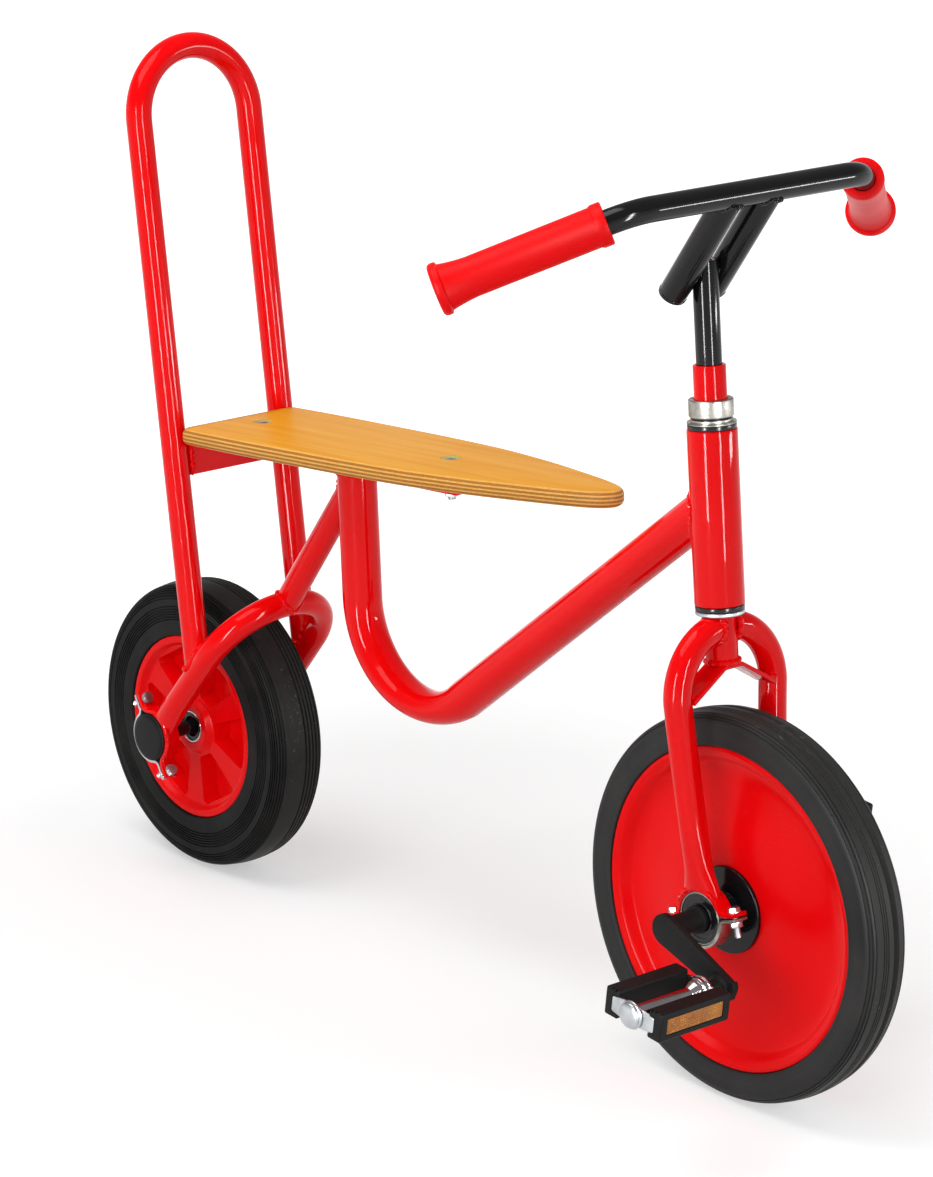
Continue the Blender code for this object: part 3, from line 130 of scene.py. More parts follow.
# Groove depth and width, and how much larger both are on the left side
FRONT_GROOVE_SIZE = (0.0009, 0.0014)
REAR_GROOVE_SIZE = (0.0014, 0.0016)
FAR_GROOVE_DEPTH = 1.5
FAR_GROOVE_WIDTH = 1.8

# Axles, bearings and clamps
AXLE_RADIUS = 0.010
BEARING_RADIUS = 0.0235
BEARING_WIDTH = 0.014
BUSH_WIDTH = 0.020
CLAMP_WIDTH = 0.016
SHELL_THICKNESS = 0.0033
STRAP_THICKNESS = 0.0026
CLAMP_GAP = 0.0015
CLAMP_BOLT_OFFSET = 0.0375
CLAMP_EAR_MARGIN = 0.0065
SHELL_BEND = 0.0090
STRAP_BEND = 0.0055
FRONT_CLAMP_Y = 0.0470
REAR_CLAMP_Y = 0.0700
FRONT_CLAMP_TILT = math.radians(-16.2)
REAR_CLAMP_TILT = math.radians(59.8)
CLAMP_BOLT_RADIUS = 0.003
CLAMP_BOLT_HEAD = 0.005
CLAMP_BOLT_TAIL = 0.0095
CLAMP_BOLT_FLATS = CLAMP_BOLT_RADIUS * 1.62
SHELL_RADIUS = BEARING_RADIUS + FIT + SHELL_THICKNESS
SHELL_WELD_SPAN = math.pi * 0.66
SHELL_WELD_Y = CLAMP_WIDTH * 0.45
WASHER_RADIUS = 1.22
WASHER_HEIGHT = 0.0008
HEXAGON_CONE = 0.0011

# Crank and pedals
CRANK_LENGTH = 0.0755
CRANK_ANGLE = math.radians(-21.3)
CRANK_END = 0.0150
CRANK_WIDTH = 0.028
CRANK_THICKNESS = 0.006
CRANK_Y = 0.091
CRANK_COLLAR = AXLE_RADIUS + 0.0025
SPINDLE_RADIUS = 0.0055
SPINDLE_FOOT = -0.001
PEDAL_TILT = math.radians(-5.5)
PEDAL_GAP = 0.021
PEDAL_LENGTH = 0.081
PEDAL_BORE = SPINDLE_RADIUS + 0.0006
BARREL_RADIUS = 0.0075
BARREL_FLANGE = 0.0140
PLATE_THICKNESS = 0.002
PLATE_HALF_SPAN = 0.025
PLATE_HEIGHT = 0.0175
PLATE_TIP_HEIGHT = 0.0135
BLOCK_DEPTH = 0.0155
BLOCK_HEIGHT = 0.026
BLOCK_OFFSET = 0.0258
PEDAL_CAP_RADIUS = 0.0125
PEDAL_CAP_LENGTH = 0.007
REFLECTOR_LENGTH = 0.065
REFLECTOR_HEIGHT = 0.015
REFLECTOR_DEPTH = 0.0035
REFLECTOR_BORDER = 0.0008
REFLECTOR_SINK = 0.0009
PRISM_DEPTH = 0.0009

# Steering column, measured up the steering axis
HEAD_RADIUS = 0.022
HEAD_BORE = 0.0187
HEAD_LOW = 0.2655
HEAD_LENGTH = 0.1525
HEAD_HIGH = HEAD_LOW + HEAD_LENGTH
RING_HEIGHT = 0.0040
LOWER_RING = HEAD_LOW - FIT - RING_HEIGHT
UPPER_RACE = HEAD_HIGH + FIT + RING_HEIGHT + FIT
NUT_RADIUS = 0.0195
NUT_HEIGHT = 0.017
NUT_LOW = UPPER_RACE + RING_HEIGHT + FIT
NUT_TOP = NUT_LOW + NUT_HEIGHT
STEERER_RADIUS = 0.01425
STEERER_BORE = 0.0116
STEERER_LOW = 0.2150
STEERER_COLLAR = 0.029
COLLAR_TOP = NUT_TOP + STEERER_COLLAR
POST_RADIUS = 0.01125
POST_BORE = 0.0055
POST_TOP = 0.5620
ARM_RADIUS = 0.0125
ARM_Y = 0.0230
ARM_LOW = Vector((-0.0178, 0, 0.5334))
STEM_BOLT_FLATS = 0.0062

# Fork
FORK_OFFSET = 0.0135
TUBE_RADIUS = 0.0125
ARCH_RADIUS = 0.0573
ARCH_HEIGHT = 0.1895
ARCH_SETBACK = 0.0026
FLAT_HALF_WIDTH = 0.0155
FLAT_HALF_THICKNESS = 0.0090
LEG_FLAT_SHARE = 0.45
LEG_SPREAD_POWER = 1.6
LEG_FLARE = 0.0055
LEG_FLARE_END = 0.27
LEG_FLARE_FALL = 0.13
SADDLE_RELIEF = 0.006
CROWN_WELD_Y = 0.0094
CROWN_HALF_GAP = 0.003
BRACE_WIDTH = 0.025
BRACE_THICKNESS = 0.004
BRACE_FOOT = 0.1935
BRACE_FLAT = 0.010

# Handlebar and grips
BAR_RADIUS = 0.011
BAR_CENTRE = Vector((0.0579, 0, 0.6220))
BAR_BEND_Y = 0.1328
BAR_BEND_RADIUS = 0.054
BAR_END = Vector((-0.0500, 0.2557, 0.5670))
ARM_SLANT = (BAR_CENTRE - ARM_LOW).normalized()
BAR_END_GAP = 0.0064
GRIP_RADIUS = 0.017
GRIP_FLARE = 0.0225
GRIP_LENGTH = 0.1495
GRIP_FLARE_LENGTH = 0.032
GRIP_COLLAR_RADIUS = 0.0185
GRIP_COLLAR = 0.010

# Frame tubes
MAIN_RADIUS = 0.0188
DOWN_TUBE_ANGLE = math.radians(39.5)
DOWN_TUBE_JOINT = 0.3540
MAIN_BEND_RADIUS = 0.0915
MAIN_BEND_SQUASH = 0.76
STAY_APEX = (0.1155, 0.2941)
STAY_HALF_SPACING = 0.068
STAY_TILT = math.radians(54.3)
STAY_LEG_STEPS = 16
STAY_FLAT_SHARE = 0.5
SEAT_STAY_TOP = 0.4430
BACKREST_HALF_SPACING = 0.06625
BACKREST_LEAN = math.radians(9.65)
BACKREST_BEND_HEIGHT = 0.7490
BACKREST_BEND_SETBACK = 0.0267

# Seat, in a frame that slopes with the board; its origin is the top of the rear bolt hole
SEAT_SLOPE = math.radians(4.8)
SEAT_REAR_BOLT = (0.0783, 0.4676)
SEAT_THICKNESS = 0.016
SEAT_EDGE_ROUND = 0.0060
SEAT_BOLT_SPACING = 0.274
SEAT_OUTLINE = (
    (-0.0415, 0.000), (-0.0412, 0.058), (-0.0375, 0.0665), (-0.0290, 0.0705), (0.0265, 0.0714),
    (0.0750, 0.0710), (0.1450, 0.0695), (0.2050, 0.0677), (0.2670, 0.0640), (0.3075, 0.0594),
    (0.3475, 0.0528), (0.3880, 0.0445), (0.4280, 0.0350), (0.4500, 0.0294), (0.4690, 0.0236),
    (0.4820, 0.0184), (0.4900, 0.0130), (0.4950, 0.0065), (0.4968, 0.000),
)
SEAT_TUBE_PLACE = 0.1385
RAIL_WIDTH = 0.030
RAIL_HEIGHT = 0.014
RAIL_REAR = 0.112
RAIL_NOSE = 0.022
SEAT_BOLT_RADIUS = 0.004
SEAT_BOLT_TAIL = 0.0085
CUP_RADIUS = 0.009
CUP_DEPTH = 0.0018
CROSSBAR_THICKNESS = 0.004
CROSSBAR_REAR = -0.0500
CROSSBAR_FRONT = 0.0180
CROSSBAR_DROP = 0.033
SEAT_ORIGIN = (REAR_HUB.translation.x + SEAT_REAR_BOLT[0], 0, SEAT_REAR_BOLT[1])
SEAT = Matrix.Translation(SEAT_ORIGIN) @ Matrix.Rotation(-SEAT_SLOPE, 4, "Y")
UNDER_SEAT = -SEAT_THICKNESS - FIT
UNDER_RAIL = -SEAT_THICKNESS - RAIL_HEIGHT - 2 * FIT

# Studio and camera
FLOOR_SHIFT = (0.20, -0.10, 0.0)
CAMERA_PLACE = (2.75505, -2.4625, 1.5067)
CAMERA_TURN = (math.radians(48.33), math.radians(17.03), math.radians(1.0))
CAMERA_LENS = 129.56
SENSOR_HEIGHT = 36.0

# Lamps: name, place, target, size, power, whether matt surfaces see it, whether reflections do
LAMPS = (
    ("overhead", (-0.3, -0.9, 2.6), (0.0, 0.0, 0.3), (1.6, 1.6), 34.0, True, True),
    ("front_fill", (1.0, -3.4, 1.3), (0.0, 0.0, 0.4), (2.4, 2.0), 39.0, True, False),
    ("side_fill", (3.2, 0.8, 1.3), (0.0, 0.0, 0.4), (1.6, 1.6), 18.0, True, False),
    ("strip_left", (0.82, -2.47, 0.86), (0.0, 0.0, 0.86), (0.30, 1.62), 84.0, False, True),
    ("strip_right", (2.56, -0.44, 0.86), (0.0, 0.0, 0.86), (0.24, 1.62), 64.0, False, True),
    ("strip_bar", (2.15, 1.75, 0.62), (0.3, 0.0, 0.62), (0.70, 0.16), 16.0, False, True),
)

# Widths of the weld beads
CRANK_WELD = 0.0040
ARM_CAP_WELD = 0.0012
POST_WELD = 0.0050
BAR_WELD = 0.0045
CROWN_WELD = 0.0062
BRACE_WELD = 0.0062
STEERER_WELD = 0.0058
FRONT_SHELL_WELD = 0.0052
REAR_SHELL_WELD = 0.0046
FRAME_WELD = 0.0056
CROSSBAR_WELD = 0.0055
RAIL_WELD = 0.0042


# Modelling tools

def shares(steps):
    """Even shares from 0 to 1."""
    return [i / steps for i in range(steps + 1)]


def spaced(rows):
    """Distances of all grooves in rows of (start, step, count)."""
    return [start + step * i for start, step, count in rows for i in range(count)]


def angles(steps, turn=FULL_TURN):
    """Even angles through a turn; a full one leaves out its end, which is its start again."""
    return [turn * i / steps for i in range(steps if turn == FULL_TURN else steps + 1)]


def select_only(piece):
    """Object mode, with this piece alone selected and active."""
    if bpy.context.object and bpy.context.object.mode != "OBJECT":
        bpy.ops.object.mode_set(mode="OBJECT")
    bpy.ops.object.select_all(action="DESELECT")
    if piece:
        piece.select_set(True)
        bpy.context.view_layer.objects.active = piece


def named(name):
    """The primitive that was just added, under its name, with its place in its mesh."""
    piece = bpy.context.object
    piece.name = piece.data.name = name
    bpy.ops.object.transform_apply(location=True, rotation=True, scale=True)
    return piece


def edit(piece):
    """Edit mode with the whole mesh selected."""
    select_only(piece)
    bpy.ops.object.mode_set(mode="EDIT")
    bpy.ops.mesh.select_mode(type="VERT")
    bpy.ops.mesh.select_all(action="SELECT")


def outward(piece):
    """Turn a piece's faces outwards and leave edit mode."""
    bpy.ops.mesh.select_all(action="SELECT")
    bpy.ops.mesh.normals_make_consistent(inside=False)
    select_only(piece)
    return piece


def put(piece, place):
    """Move a piece's mesh to its place."""
    piece.data.transform(place)
    return piece


def modify(piece, kind, **settings):
    """Add a modifier with these settings and apply it."""
    select_only(piece)
    modifier = piece.modifiers.new(kind, kind)
    for key, value in settings.items():
        setattr(modifier, key, value)
    bpy.ops.object.modifier_apply(modifier=modifier.name)
    return piece


def cut(piece, cutter, operation="DIFFERENCE", keep=False):
    """Cut a cutter out of a piece, or keep what both share, and remove the cutter."""
    modify(piece, "BOOLEAN", operation=operation, object=cutter, solver="EXACT")
    if not keep:
        bpy.data.objects.remove(cutter, do_unlink=True)
    return piece


def bevelled(piece, width, segments=3, angle=30.0):
    """Round a piece's sharp edges."""
    return modify(piece, "BEVEL", width=width, segments=segments, limit_method="ANGLE",
                  angle_limit=math.radians(angle))


def wrapped(name, across, along, place, ends=True):
    """A grid bent into shape: place(share across, row) gives its points. Seam merged, ends filled."""
    select_only(None)
    bpy.ops.mesh.primitive_grid_add(x_subdivisions=across, y_subdivisions=along, size=1)
    piece = named(name)
    for vertex in piece.data.vertices:
        vertex.co = place(vertex.co.x + 0.5, round((vertex.co.y + 0.5) * along))
    edit(piece)
    bpy.ops.mesh.remove_doubles(threshold=0.000002)
    bpy.ops.mesh.dissolve_degenerate(threshold=0.000001)
    if ends:
        bpy.ops.mesh.select_all(action="SELECT")
        bpy.ops.mesh.fill_holes(sides=0)
    return outward(piece)


def swept(name, centres, radii, side, sides=56):
    """A bar along a line of centres; each ring has a radius along side and one across it."""
    last = len(centres) - 1
    rings = []
    for i, centre in enumerate(centres):
        along = (centres[min(i + 1, last)] - centres[max(i - 1, 0)]).normalized()
        width = (side - along * side.dot(along)).normalized()
        rings.append((centre, width * radii[i][0], along.cross(width) * radii[i][1]))

    def place(turn, row):
        centre, width, depth = rings[row]
        angle = FULL_TURN * turn
        return centre + width * math.cos(angle) + depth * math.sin(angle)
    return wrapped(name, sides, last, place)


def round_bar(name, start, end, radius, sides=56):
    """A straight round bar between two points."""
    start = Vector(start)
    end = Vector(end)
    select_only(None)
    turn = (end - start).to_track_quat("Z", "Y").to_euler()
    bpy.ops.mesh.primitive_cylinder_add(vertices=sides, radius=radius, depth=(end - start).length,
                                        location=(start + end) / 2, rotation=turn)
    return named(name)


def rounded(points, steps=5):
    """A closed outline whose corners (x, y, radius) become arcs; a radius of 0 stays a corner."""
    outline = []
    count = len(points)
    for i, (x, y, radius) in enumerate(points):
        if radius == 0:
            outline.append((x, y))
            continue
        corner = Vector((x, y))
        back = Vector(points[i - 1][:2]) - corner
        on = Vector(points[(i + 1) % count][:2]) - corner
        half = back.angle(on) / 2
        reach = min(radius / math.tan(half), 0.49 * back.length, 0.49 * on.length)
        radius = reach * math.tan(half)
        back.normalize()
        on.normalize()
        centre = corner + (back + on).normalized() * radius / math.sin(half)
        first = corner + back * reach - centre
        sweep = -math.copysign(math.pi - 2 * half, back.cross(on))
        outline += [tuple(centre + Matrix.Rotation(sweep * k / steps, 2) @ first) for k in range(steps + 1)]
    return outline


def ring_section(inner, outer, low, high, rounds, steps):
    """A plain ring's section; its rounds are for the corners inner low and high, then outer high and low."""
    corners = ((inner, low), (inner, high), (outer, high), (outer, low))
    return rounded([(*corner, radius) for corner, radius in zip(corners, rounds)], steps)


def mirrored(half):
    """Section points in reverse order on the other side of height 0."""
    return [(r, -z) for r, z in half[::-1]]


def turned(name, profile, steps=112, closed=True):
    """A turned piece round Z from a section of (radius, height) points."""
    section = list(profile) + ([profile[0]] if closed else [])

    def place(turn, row):
        radius, height = section[row]
        angle = FULL_TURN * turn
        return Vector((radius * math.cos(angle), radius * math.sin(angle), height))
    return wrapped(name, steps, len(section) - 1, place, ends=not closed)


def filled(name, outline, height):
    """An outline as one face at a height, in edit mode."""
    select_only(None)
    bpy.ops.mesh.primitive_circle_add(vertices=len(outline), radius=1, fill_type="NGON")
    piece = named(name)
    for vertex, (x, y) in zip(piece.data.vertices, outline):
        vertex.co = (x, y, height)
    edit(piece)
    return piece


def plate(name, outline, thickness):
    """A flat plate in XY, centred on z = 0."""
    piece = filled(name, outline, -thickness / 2)
    bpy.ops.mesh.extrude_region_move(TRANSFORM_OT_translate={"value": (0, 0, thickness)})
    return outward(piece)


def box(name, size, place=Matrix()):
    """A box of a size, centred on its place."""
    select_only(None)
    bpy.ops.mesh.primitive_cube_add(size=1, scale=size)
    return put(named(name), place)


def copied(piece, name, place):
    """A copy of a piece with its own mesh, at another place."""
    twin = piece.copy()
    twin.data = piece.data.copy()
    twin.name = twin.data.name = name
    bpy.context.scene.collection.objects.link(twin)
    return put(twin, place)


def joined(name, pieces):
    """Several loose pieces as one object."""
    select_only(pieces[0])
    for piece in pieces[1:]:
        piece.select_set(True)
    bpy.ops.object.join()
    whole = bpy.context.object
    whole.name = whole.data.name = name
    return whole


def dress(piece, finish, body, *nodes, smooth=SMOOTH_ANGLE):
    """Shade and paint a finished piece, hang it on its body and hide the nodes that it stands for."""
    material, slot = finish
    select_only(piece)
    if smooth:
        bpy.ops.object.shade_smooth_by_angle(angle=math.radians(smooth))
    piece.data.materials.clear()
    piece.data.materials.append(material)
    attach(piece, body)
    if nodes:
        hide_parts(*nodes)
    return piece


def lathe(name, section, place, finish, body, *nodes, steps=96, closed=True, smooth=SMOOTH_ANGLE):
    """A turned piece, put in place and dressed."""
    return dress(put(turned(name, section, steps, closed), place), finish, body, *nodes, smooth=smooth)


def arc(centre, start, axis, angle, steps):
    """Points that swing start round a centre through an angle about an axis."""
    centre = Vector(centre)
    spoke = Vector(start) - centre
    return [centre + Matrix.Rotation(angle * i / steps, 3, axis) @ spoke for i in range(steps + 1)]


def filleted(points, radius, steps):
    """A line through points whose inner corners are bent to a radius."""
    points = [Vector(point) for point in points]
    path = [points[0]]
    for before, corner, after in zip(points, points[1:], points[2:]):
        back = (before - corner).normalized()
        on = (after - corner).normalized()
        half = back.angle(on) / 2
        start = corner + back * radius / math.tan(half)
        centre = corner + (back + on).normalized() * radius / math.sin(half)
        axis = (start - centre).cross(-back).normalized()
        path += arc(centre, start, axis, math.pi - 2 * half, steps)
    path.append(points[-1])
    return path


# Weld beads

def bead(name, points, width, seed, closed=True):
    """A lumpy weld bead along points: puddles that overlap, uneven in width, tapered at open ends."""
    count = len(points)
    steps = count if closed else count - 1
    puddle_length = width * 0.75
    length = sum((points[(i + 1) % count] - points[i]).length for i in range(steps))
    puddles = max(3, round(length / puddle_length))
    rings = []
    for i, point in enumerate(points):
        share = i / steps
        before = points[i - 1] if closed or i else point
        after = points[(i + 1) % count] if closed or i < steps else point
        along = (after - before).normalized()
        ripple = 0.5 + 0.5 * math.cos(FULL_TURN * share * puddles)
        lump = noise.noise(point * 260 + Vector((seed, seed, 0)))
        radius = width / 2 * (0.74 + 0.26 * ripple + 0.55 * lump)
        if not closed:
            radius *= max(0.05, min(1.0, 6 * share, 6 * (1 - share)) ** 0.5)
        side = along.orthogonal().normalized()
        rings.append((point, side, along.cross(side).normalized(), radius))
    for i in range(1, count):
        centre, side, up, radius = rings[i]
        last_side = rings[i - 1][1]
        along = side.cross(up)
        side = (last_side - along * last_side.dot(along)).normalized()
        rings[i] = (centre, side, along.cross(side), radius)
    if closed:
        rings.append(rings[0])

    def place(turn, row):
        centre, side, up, radius = rings[row]
        angle = FULL_TURN * turn
        return centre + (side * math.cos(angle) + up * math.sin(angle)) * radius
    return wrapped(name, 10, len(rings) - 1, place, ends=not closed)


def weld(name, points, width, seed, finish, body, closed=True):
    """A dressed weld bead."""
    return dress(bead(name, points, width, seed, closed), finish, body)


def landings(tree, starts, direction):
    """Where rays first meet a piece; a ray that misses it goes as far as the nearest one that meets it."""
    reaches = [tree.ray_cast(start, direction)[3] for start in starts]
    count = len(starts)
    for i in range(count):
        step = 0
        while reaches[(i + step) % count] is None and reaches[i - step] is None:
            step += 1
        reach = reaches[(i + step) % count]
        yield starts[i] + direction * (reach if reach is not None else reaches[i - step])


def seam(target, origin, direction, radius, steps=96, span=(0, 1)):
    """Points where a bar's surface meets another piece: rays run down the bar's surface until they land."""
    tree = BVHTree.FromObject(target, bpy.context.evaluated_depsgraph_get())
    direction = direction.normalized()
    side = (LEFT - direction * LEFT.dot(direction)).normalized()
    up = direction.cross(side)
    starts = []
    for i in range(steps if span == (0, 1) else steps + 1):
        angle = FULL_TURN * (span[0] + (span[1] - span[0]) * i / steps)
        starts.append(origin + side * radius * math.cos(angle) + up * radius * math.sin(angle))
    return list(landings(tree, starts, direction))


# Materials: the shared effects are node groups

class Graph:
    """A node tree, with short ways to add to it. Values are numbers, colours or other nodes' sockets."""

    def __init__(self, tree):
        self.tree = tree

    def link(self, value, socket):
        """Link a socket to an input."""
        self.tree.links.new(value, socket)

    def add(self, kind, inputs=None, **settings):
        """The outputs of a new node with its settings, its values and its links."""
        new = self.tree.nodes.new("ShaderNode" + kind)
        for key, value in settings.items():
            setattr(new, key, value)
        for key, value in (inputs or {}).items():
            if isinstance(value, bpy.types.NodeSocket):
                self.link(value, new.inputs[key])
            else:
                new.inputs[key].default_value = value
        return new.outputs

    def maths(self, operation, *values, clamp=False):
        """A maths node's result."""
        return self.add("Math", dict(enumerate(values)), operation=operation, use_clamp=clamp)[0]

    def times(self, first, second):
        """A product."""
        return self.maths("MULTIPLY", first, second)

    def coordinates(self):
        """A point's place in the object, which is its real place in metres."""
        return self.add("TexCoord")["Object"]

    def mapped(self, place, **values):
        """A pattern's place, moved, turned or stretched."""
        return self.add("Mapping", {"Vector": place, **values})[0]

    def noise(self, place, scale, detail, distortion=0.0):
        """Noise of a scale at a place."""
        return self.add("TexNoise", {"Vector": place, "Scale": scale, "Detail": detail,
                                     "Distortion": distortion})["Fac"]

    def ramp(self, value, start, end, low=0.0, high=1.0):
        """A value that runs from low to high while the given one goes from start to end."""
        return self.add("MapRange", {0: value, 1: start, 2: end, 3: low, 4: high})[0]

    def spread(self, value, low, high):
        """A noise value stretched to run from low to high."""
        return self.ramp(value, 0.3, 0.7, low, high)

    def mix(self, share, first, second):
        """A colour between two."""
        colours = {key: (*colour, 1.0) if isinstance(colour, tuple) else colour
                   for key, colour in ((6, first), (7, second))}
        return self.add("Mix", {"Factor": share, **colours}, data_type="RGBA")[2]

    def coating(self, peel_scale, mottle_scale, dust):
        """The shared skin, as its outputs."""
        values = {"Peel scale": peel_scale, "Mottle scale": mottle_scale, "Dust amount": dust}
        return self.add("Group", values, node_tree=COATING)

    def scuffs(self, scale, cover):
        """The shared scuffs."""
        return self.add("Group", {"Scale": scale, "Cover": cover}, node_tree=SCUFFS)["Scuffs"]

    def surface(self, shader, colour, roughness, height, distance):
        """Link a colour, a roughness and a bump to a shader's inputs."""
        self.link(colour, shader["Base Color"])
        self.link(roughness, shader["Roughness"])
        bump = self.add("Bump", {"Height": height, "Distance": distance, "Strength": 1.0})[0]
        self.link(bump, shader["Normal"])


def new_group(name, inputs, outputs):
    """An empty node group with named numbers that go in and out."""
    tree = bpy.data.node_groups.new(name, "ShaderNodeTree")
    for label, value in inputs.items():
        tree.interface.new_socket(label, in_out="INPUT", socket_type="NodeSocketFloat").default_value = value
    for label in outputs:
        tree.interface.new_socket(label, in_out="OUTPUT", socket_type="NodeSocketFloat")
    given = tree.nodes.new("NodeGroupInput").outputs
    result = tree.nodes.new("NodeGroupOutput").inputs
    return Graph(tree), given, result


def coating_group():
    """Skin of a powder coat or a moulding: orange peel, slow mottling and fine dust."""
    graph, given, result = new_group("coating_skin", {"Peel scale": 900.0, "Mottle scale": 18.0,
                                                      "Dust amount": 0.1}, ("Peel", "Mottle", "Dust"))
    place = graph.coordinates()
    fine = graph.ramp(graph.noise(place, 2200.0, 1.0), 0.60, 0.78)
    where = graph.ramp(graph.noise(place, 35.0, 3.0), 0.45, 0.70)
    graph.link(graph.noise(place, given["Peel scale"], 2.0), result["Peel"])
    graph.link(graph.noise(place, given["Mottle scale"], 4.0), result["Mottle"])
    graph.link(graph.times(graph.times(fine, where), given["Dust amount"]), result["Dust"])
    return graph.tree


def scuff_group():
    """Short fine scratches in two directions, in patches."""
    graph, given, result = new_group("scuffs", {"Scale": 60.0, "Cover": 0.2}, ("Scuffs",))
    place = graph.coordinates()
    masks = []
    for turn in ((0.3, 0.5, 0.9), (1.2, -0.4, 0.2)):
        streak = graph.noise(graph.mapped(place, Rotation=turn, Scale=(1.0, 14.0, 14.0)), given["Scale"], 2.0)
        masks.append(graph.ramp(streak, 0.66, 0.74))
    where = graph.ramp(graph.noise(place, 14.0, 2.0), 0.48, 0.62)
    shown = graph.times(graph.maths("MAXIMUM", *masks), where)
    graph.link(graph.times(shown, given["Cover"]), result["Scuffs"])
    return graph.tree


COATING = coating_group()
SCUFFS = scuff_group()
DUST = (0.45, 0.42, 0.40)


def new_material(name, **sockets):
    """A material with one Principled shader and the values that are the same all over."""
    material = bpy.data.materials.new(name)
    material.use_nodes = True
    shader = material.node_tree.nodes["Principled BSDF"].inputs
    for key, value in sockets.items():
        shader[key.replace("_", " ")].default_value = value
    return material, Graph(material.node_tree), shader


def coated(name, colour, shade, roughness, skin, scuff, wear, dust=0.0, **sockets):
    """A mottled colour with scuffs and a fine uneven skin, and with dust on all but metal."""
    material, graph, shader = new_material(name, **sockets)
    peel_scale, peel_depth, mottle_scale = skin
    scuff_scale, cover, scuff_colour = scuff
    coat = graph.coating(peel_scale, mottle_scale, dust)
    scuffs = graph.scuffs(scuff_scale, cover)
    base = graph.mix(graph.spread(coat["Mottle"], 0.0, 1.0), colour, shade)
    if dust:
        base = graph.mix(coat["Dust"], base, DUST)
    rough = graph.spread(coat["Mottle"], *roughness)
    worn = graph.maths("ADD", rough, graph.times(scuffs, wear), clamp=True)
    graph.surface(shader, graph.mix(scuffs, base, scuff_colour), worn, coat["Peel"], peel_depth)
    return material


def painted(name, colour, shade, dust, cover, roughness, skin, scuff_scale, shine):
    """Powder coat, plastic or rubber with dust and scuffs; skin is peel scale, peel depth, mottle scale."""
    return coated(name, colour, shade, roughness, skin, (scuff_scale, cover, DUST), 0.35, dust,
                  Specular_IOR_Level=shine)


def metal(name, colour, shade, roughness, grain, cover=0.25):
    """Plated or bare steel: stained in patches, with a fine grain and scratches."""
    return coated(name, colour, shade, roughness, grain, (140.0, cover, shade), 0.25, Metallic=1.0)


def tyre_rubber(name, hub, tread_radius, dark, light, shine):
    """Moulded rubber: fine rings round the axle, a dry grey bloom and light scuffs on the tread."""
    material, graph, shader = new_material(name, Specular_IOR_Level=shine)
    coat = graph.coating(1300.0, 22.0, 0.5)
    centred = graph.mapped(graph.coordinates(), Location=tuple(-hub.translation))
    flat = graph.add("VectorMath", {0: centred, 1: (1.0, 0.0, 1.0)}, operation="MULTIPLY")[0]
    reach = graph.add("VectorMath", {0: flat}, operation="LENGTH")["Value"]
    across = graph.add("SeparateXYZ", {0: centred})["Y"]
    ring_place = graph.add("CombineXYZ", {0: reach, 1: across})[0]
    streaks = graph.spread(graph.noise(ring_place, 420.0, 3.0), 0.0, 1.0)
    base = graph.mix(streaks, (dark, dark, dark), (light, light, light))
    bloom = graph.mix(graph.ramp(coat["Mottle"], 0.45, 0.75, 0.0, 0.35), base, (0.040, 0.038, 0.036))
    tread = graph.ramp(reach, tread_radius - 0.004, tread_radius - 0.001)
    rubbed = graph.times(graph.scuffs(26.0, 0.8), tread)
    dry = graph.mix(graph.times(tread, 0.5), bloom, (0.034, 0.033, 0.031))
    worn = graph.mix(graph.times(rubbed, 0.6), dry, (0.16, 0.16, 0.16))
    dusty = graph.mix(coat["Dust"], worn, (0.13, 0.125, 0.12))
    height = graph.maths("ADD", graph.times(streaks, 0.5), coat["Peel"])
    graph.surface(shader, dusty, graph.spread(coat["Mottle"], 0.42, 0.58), height, 0.00008)
    return material


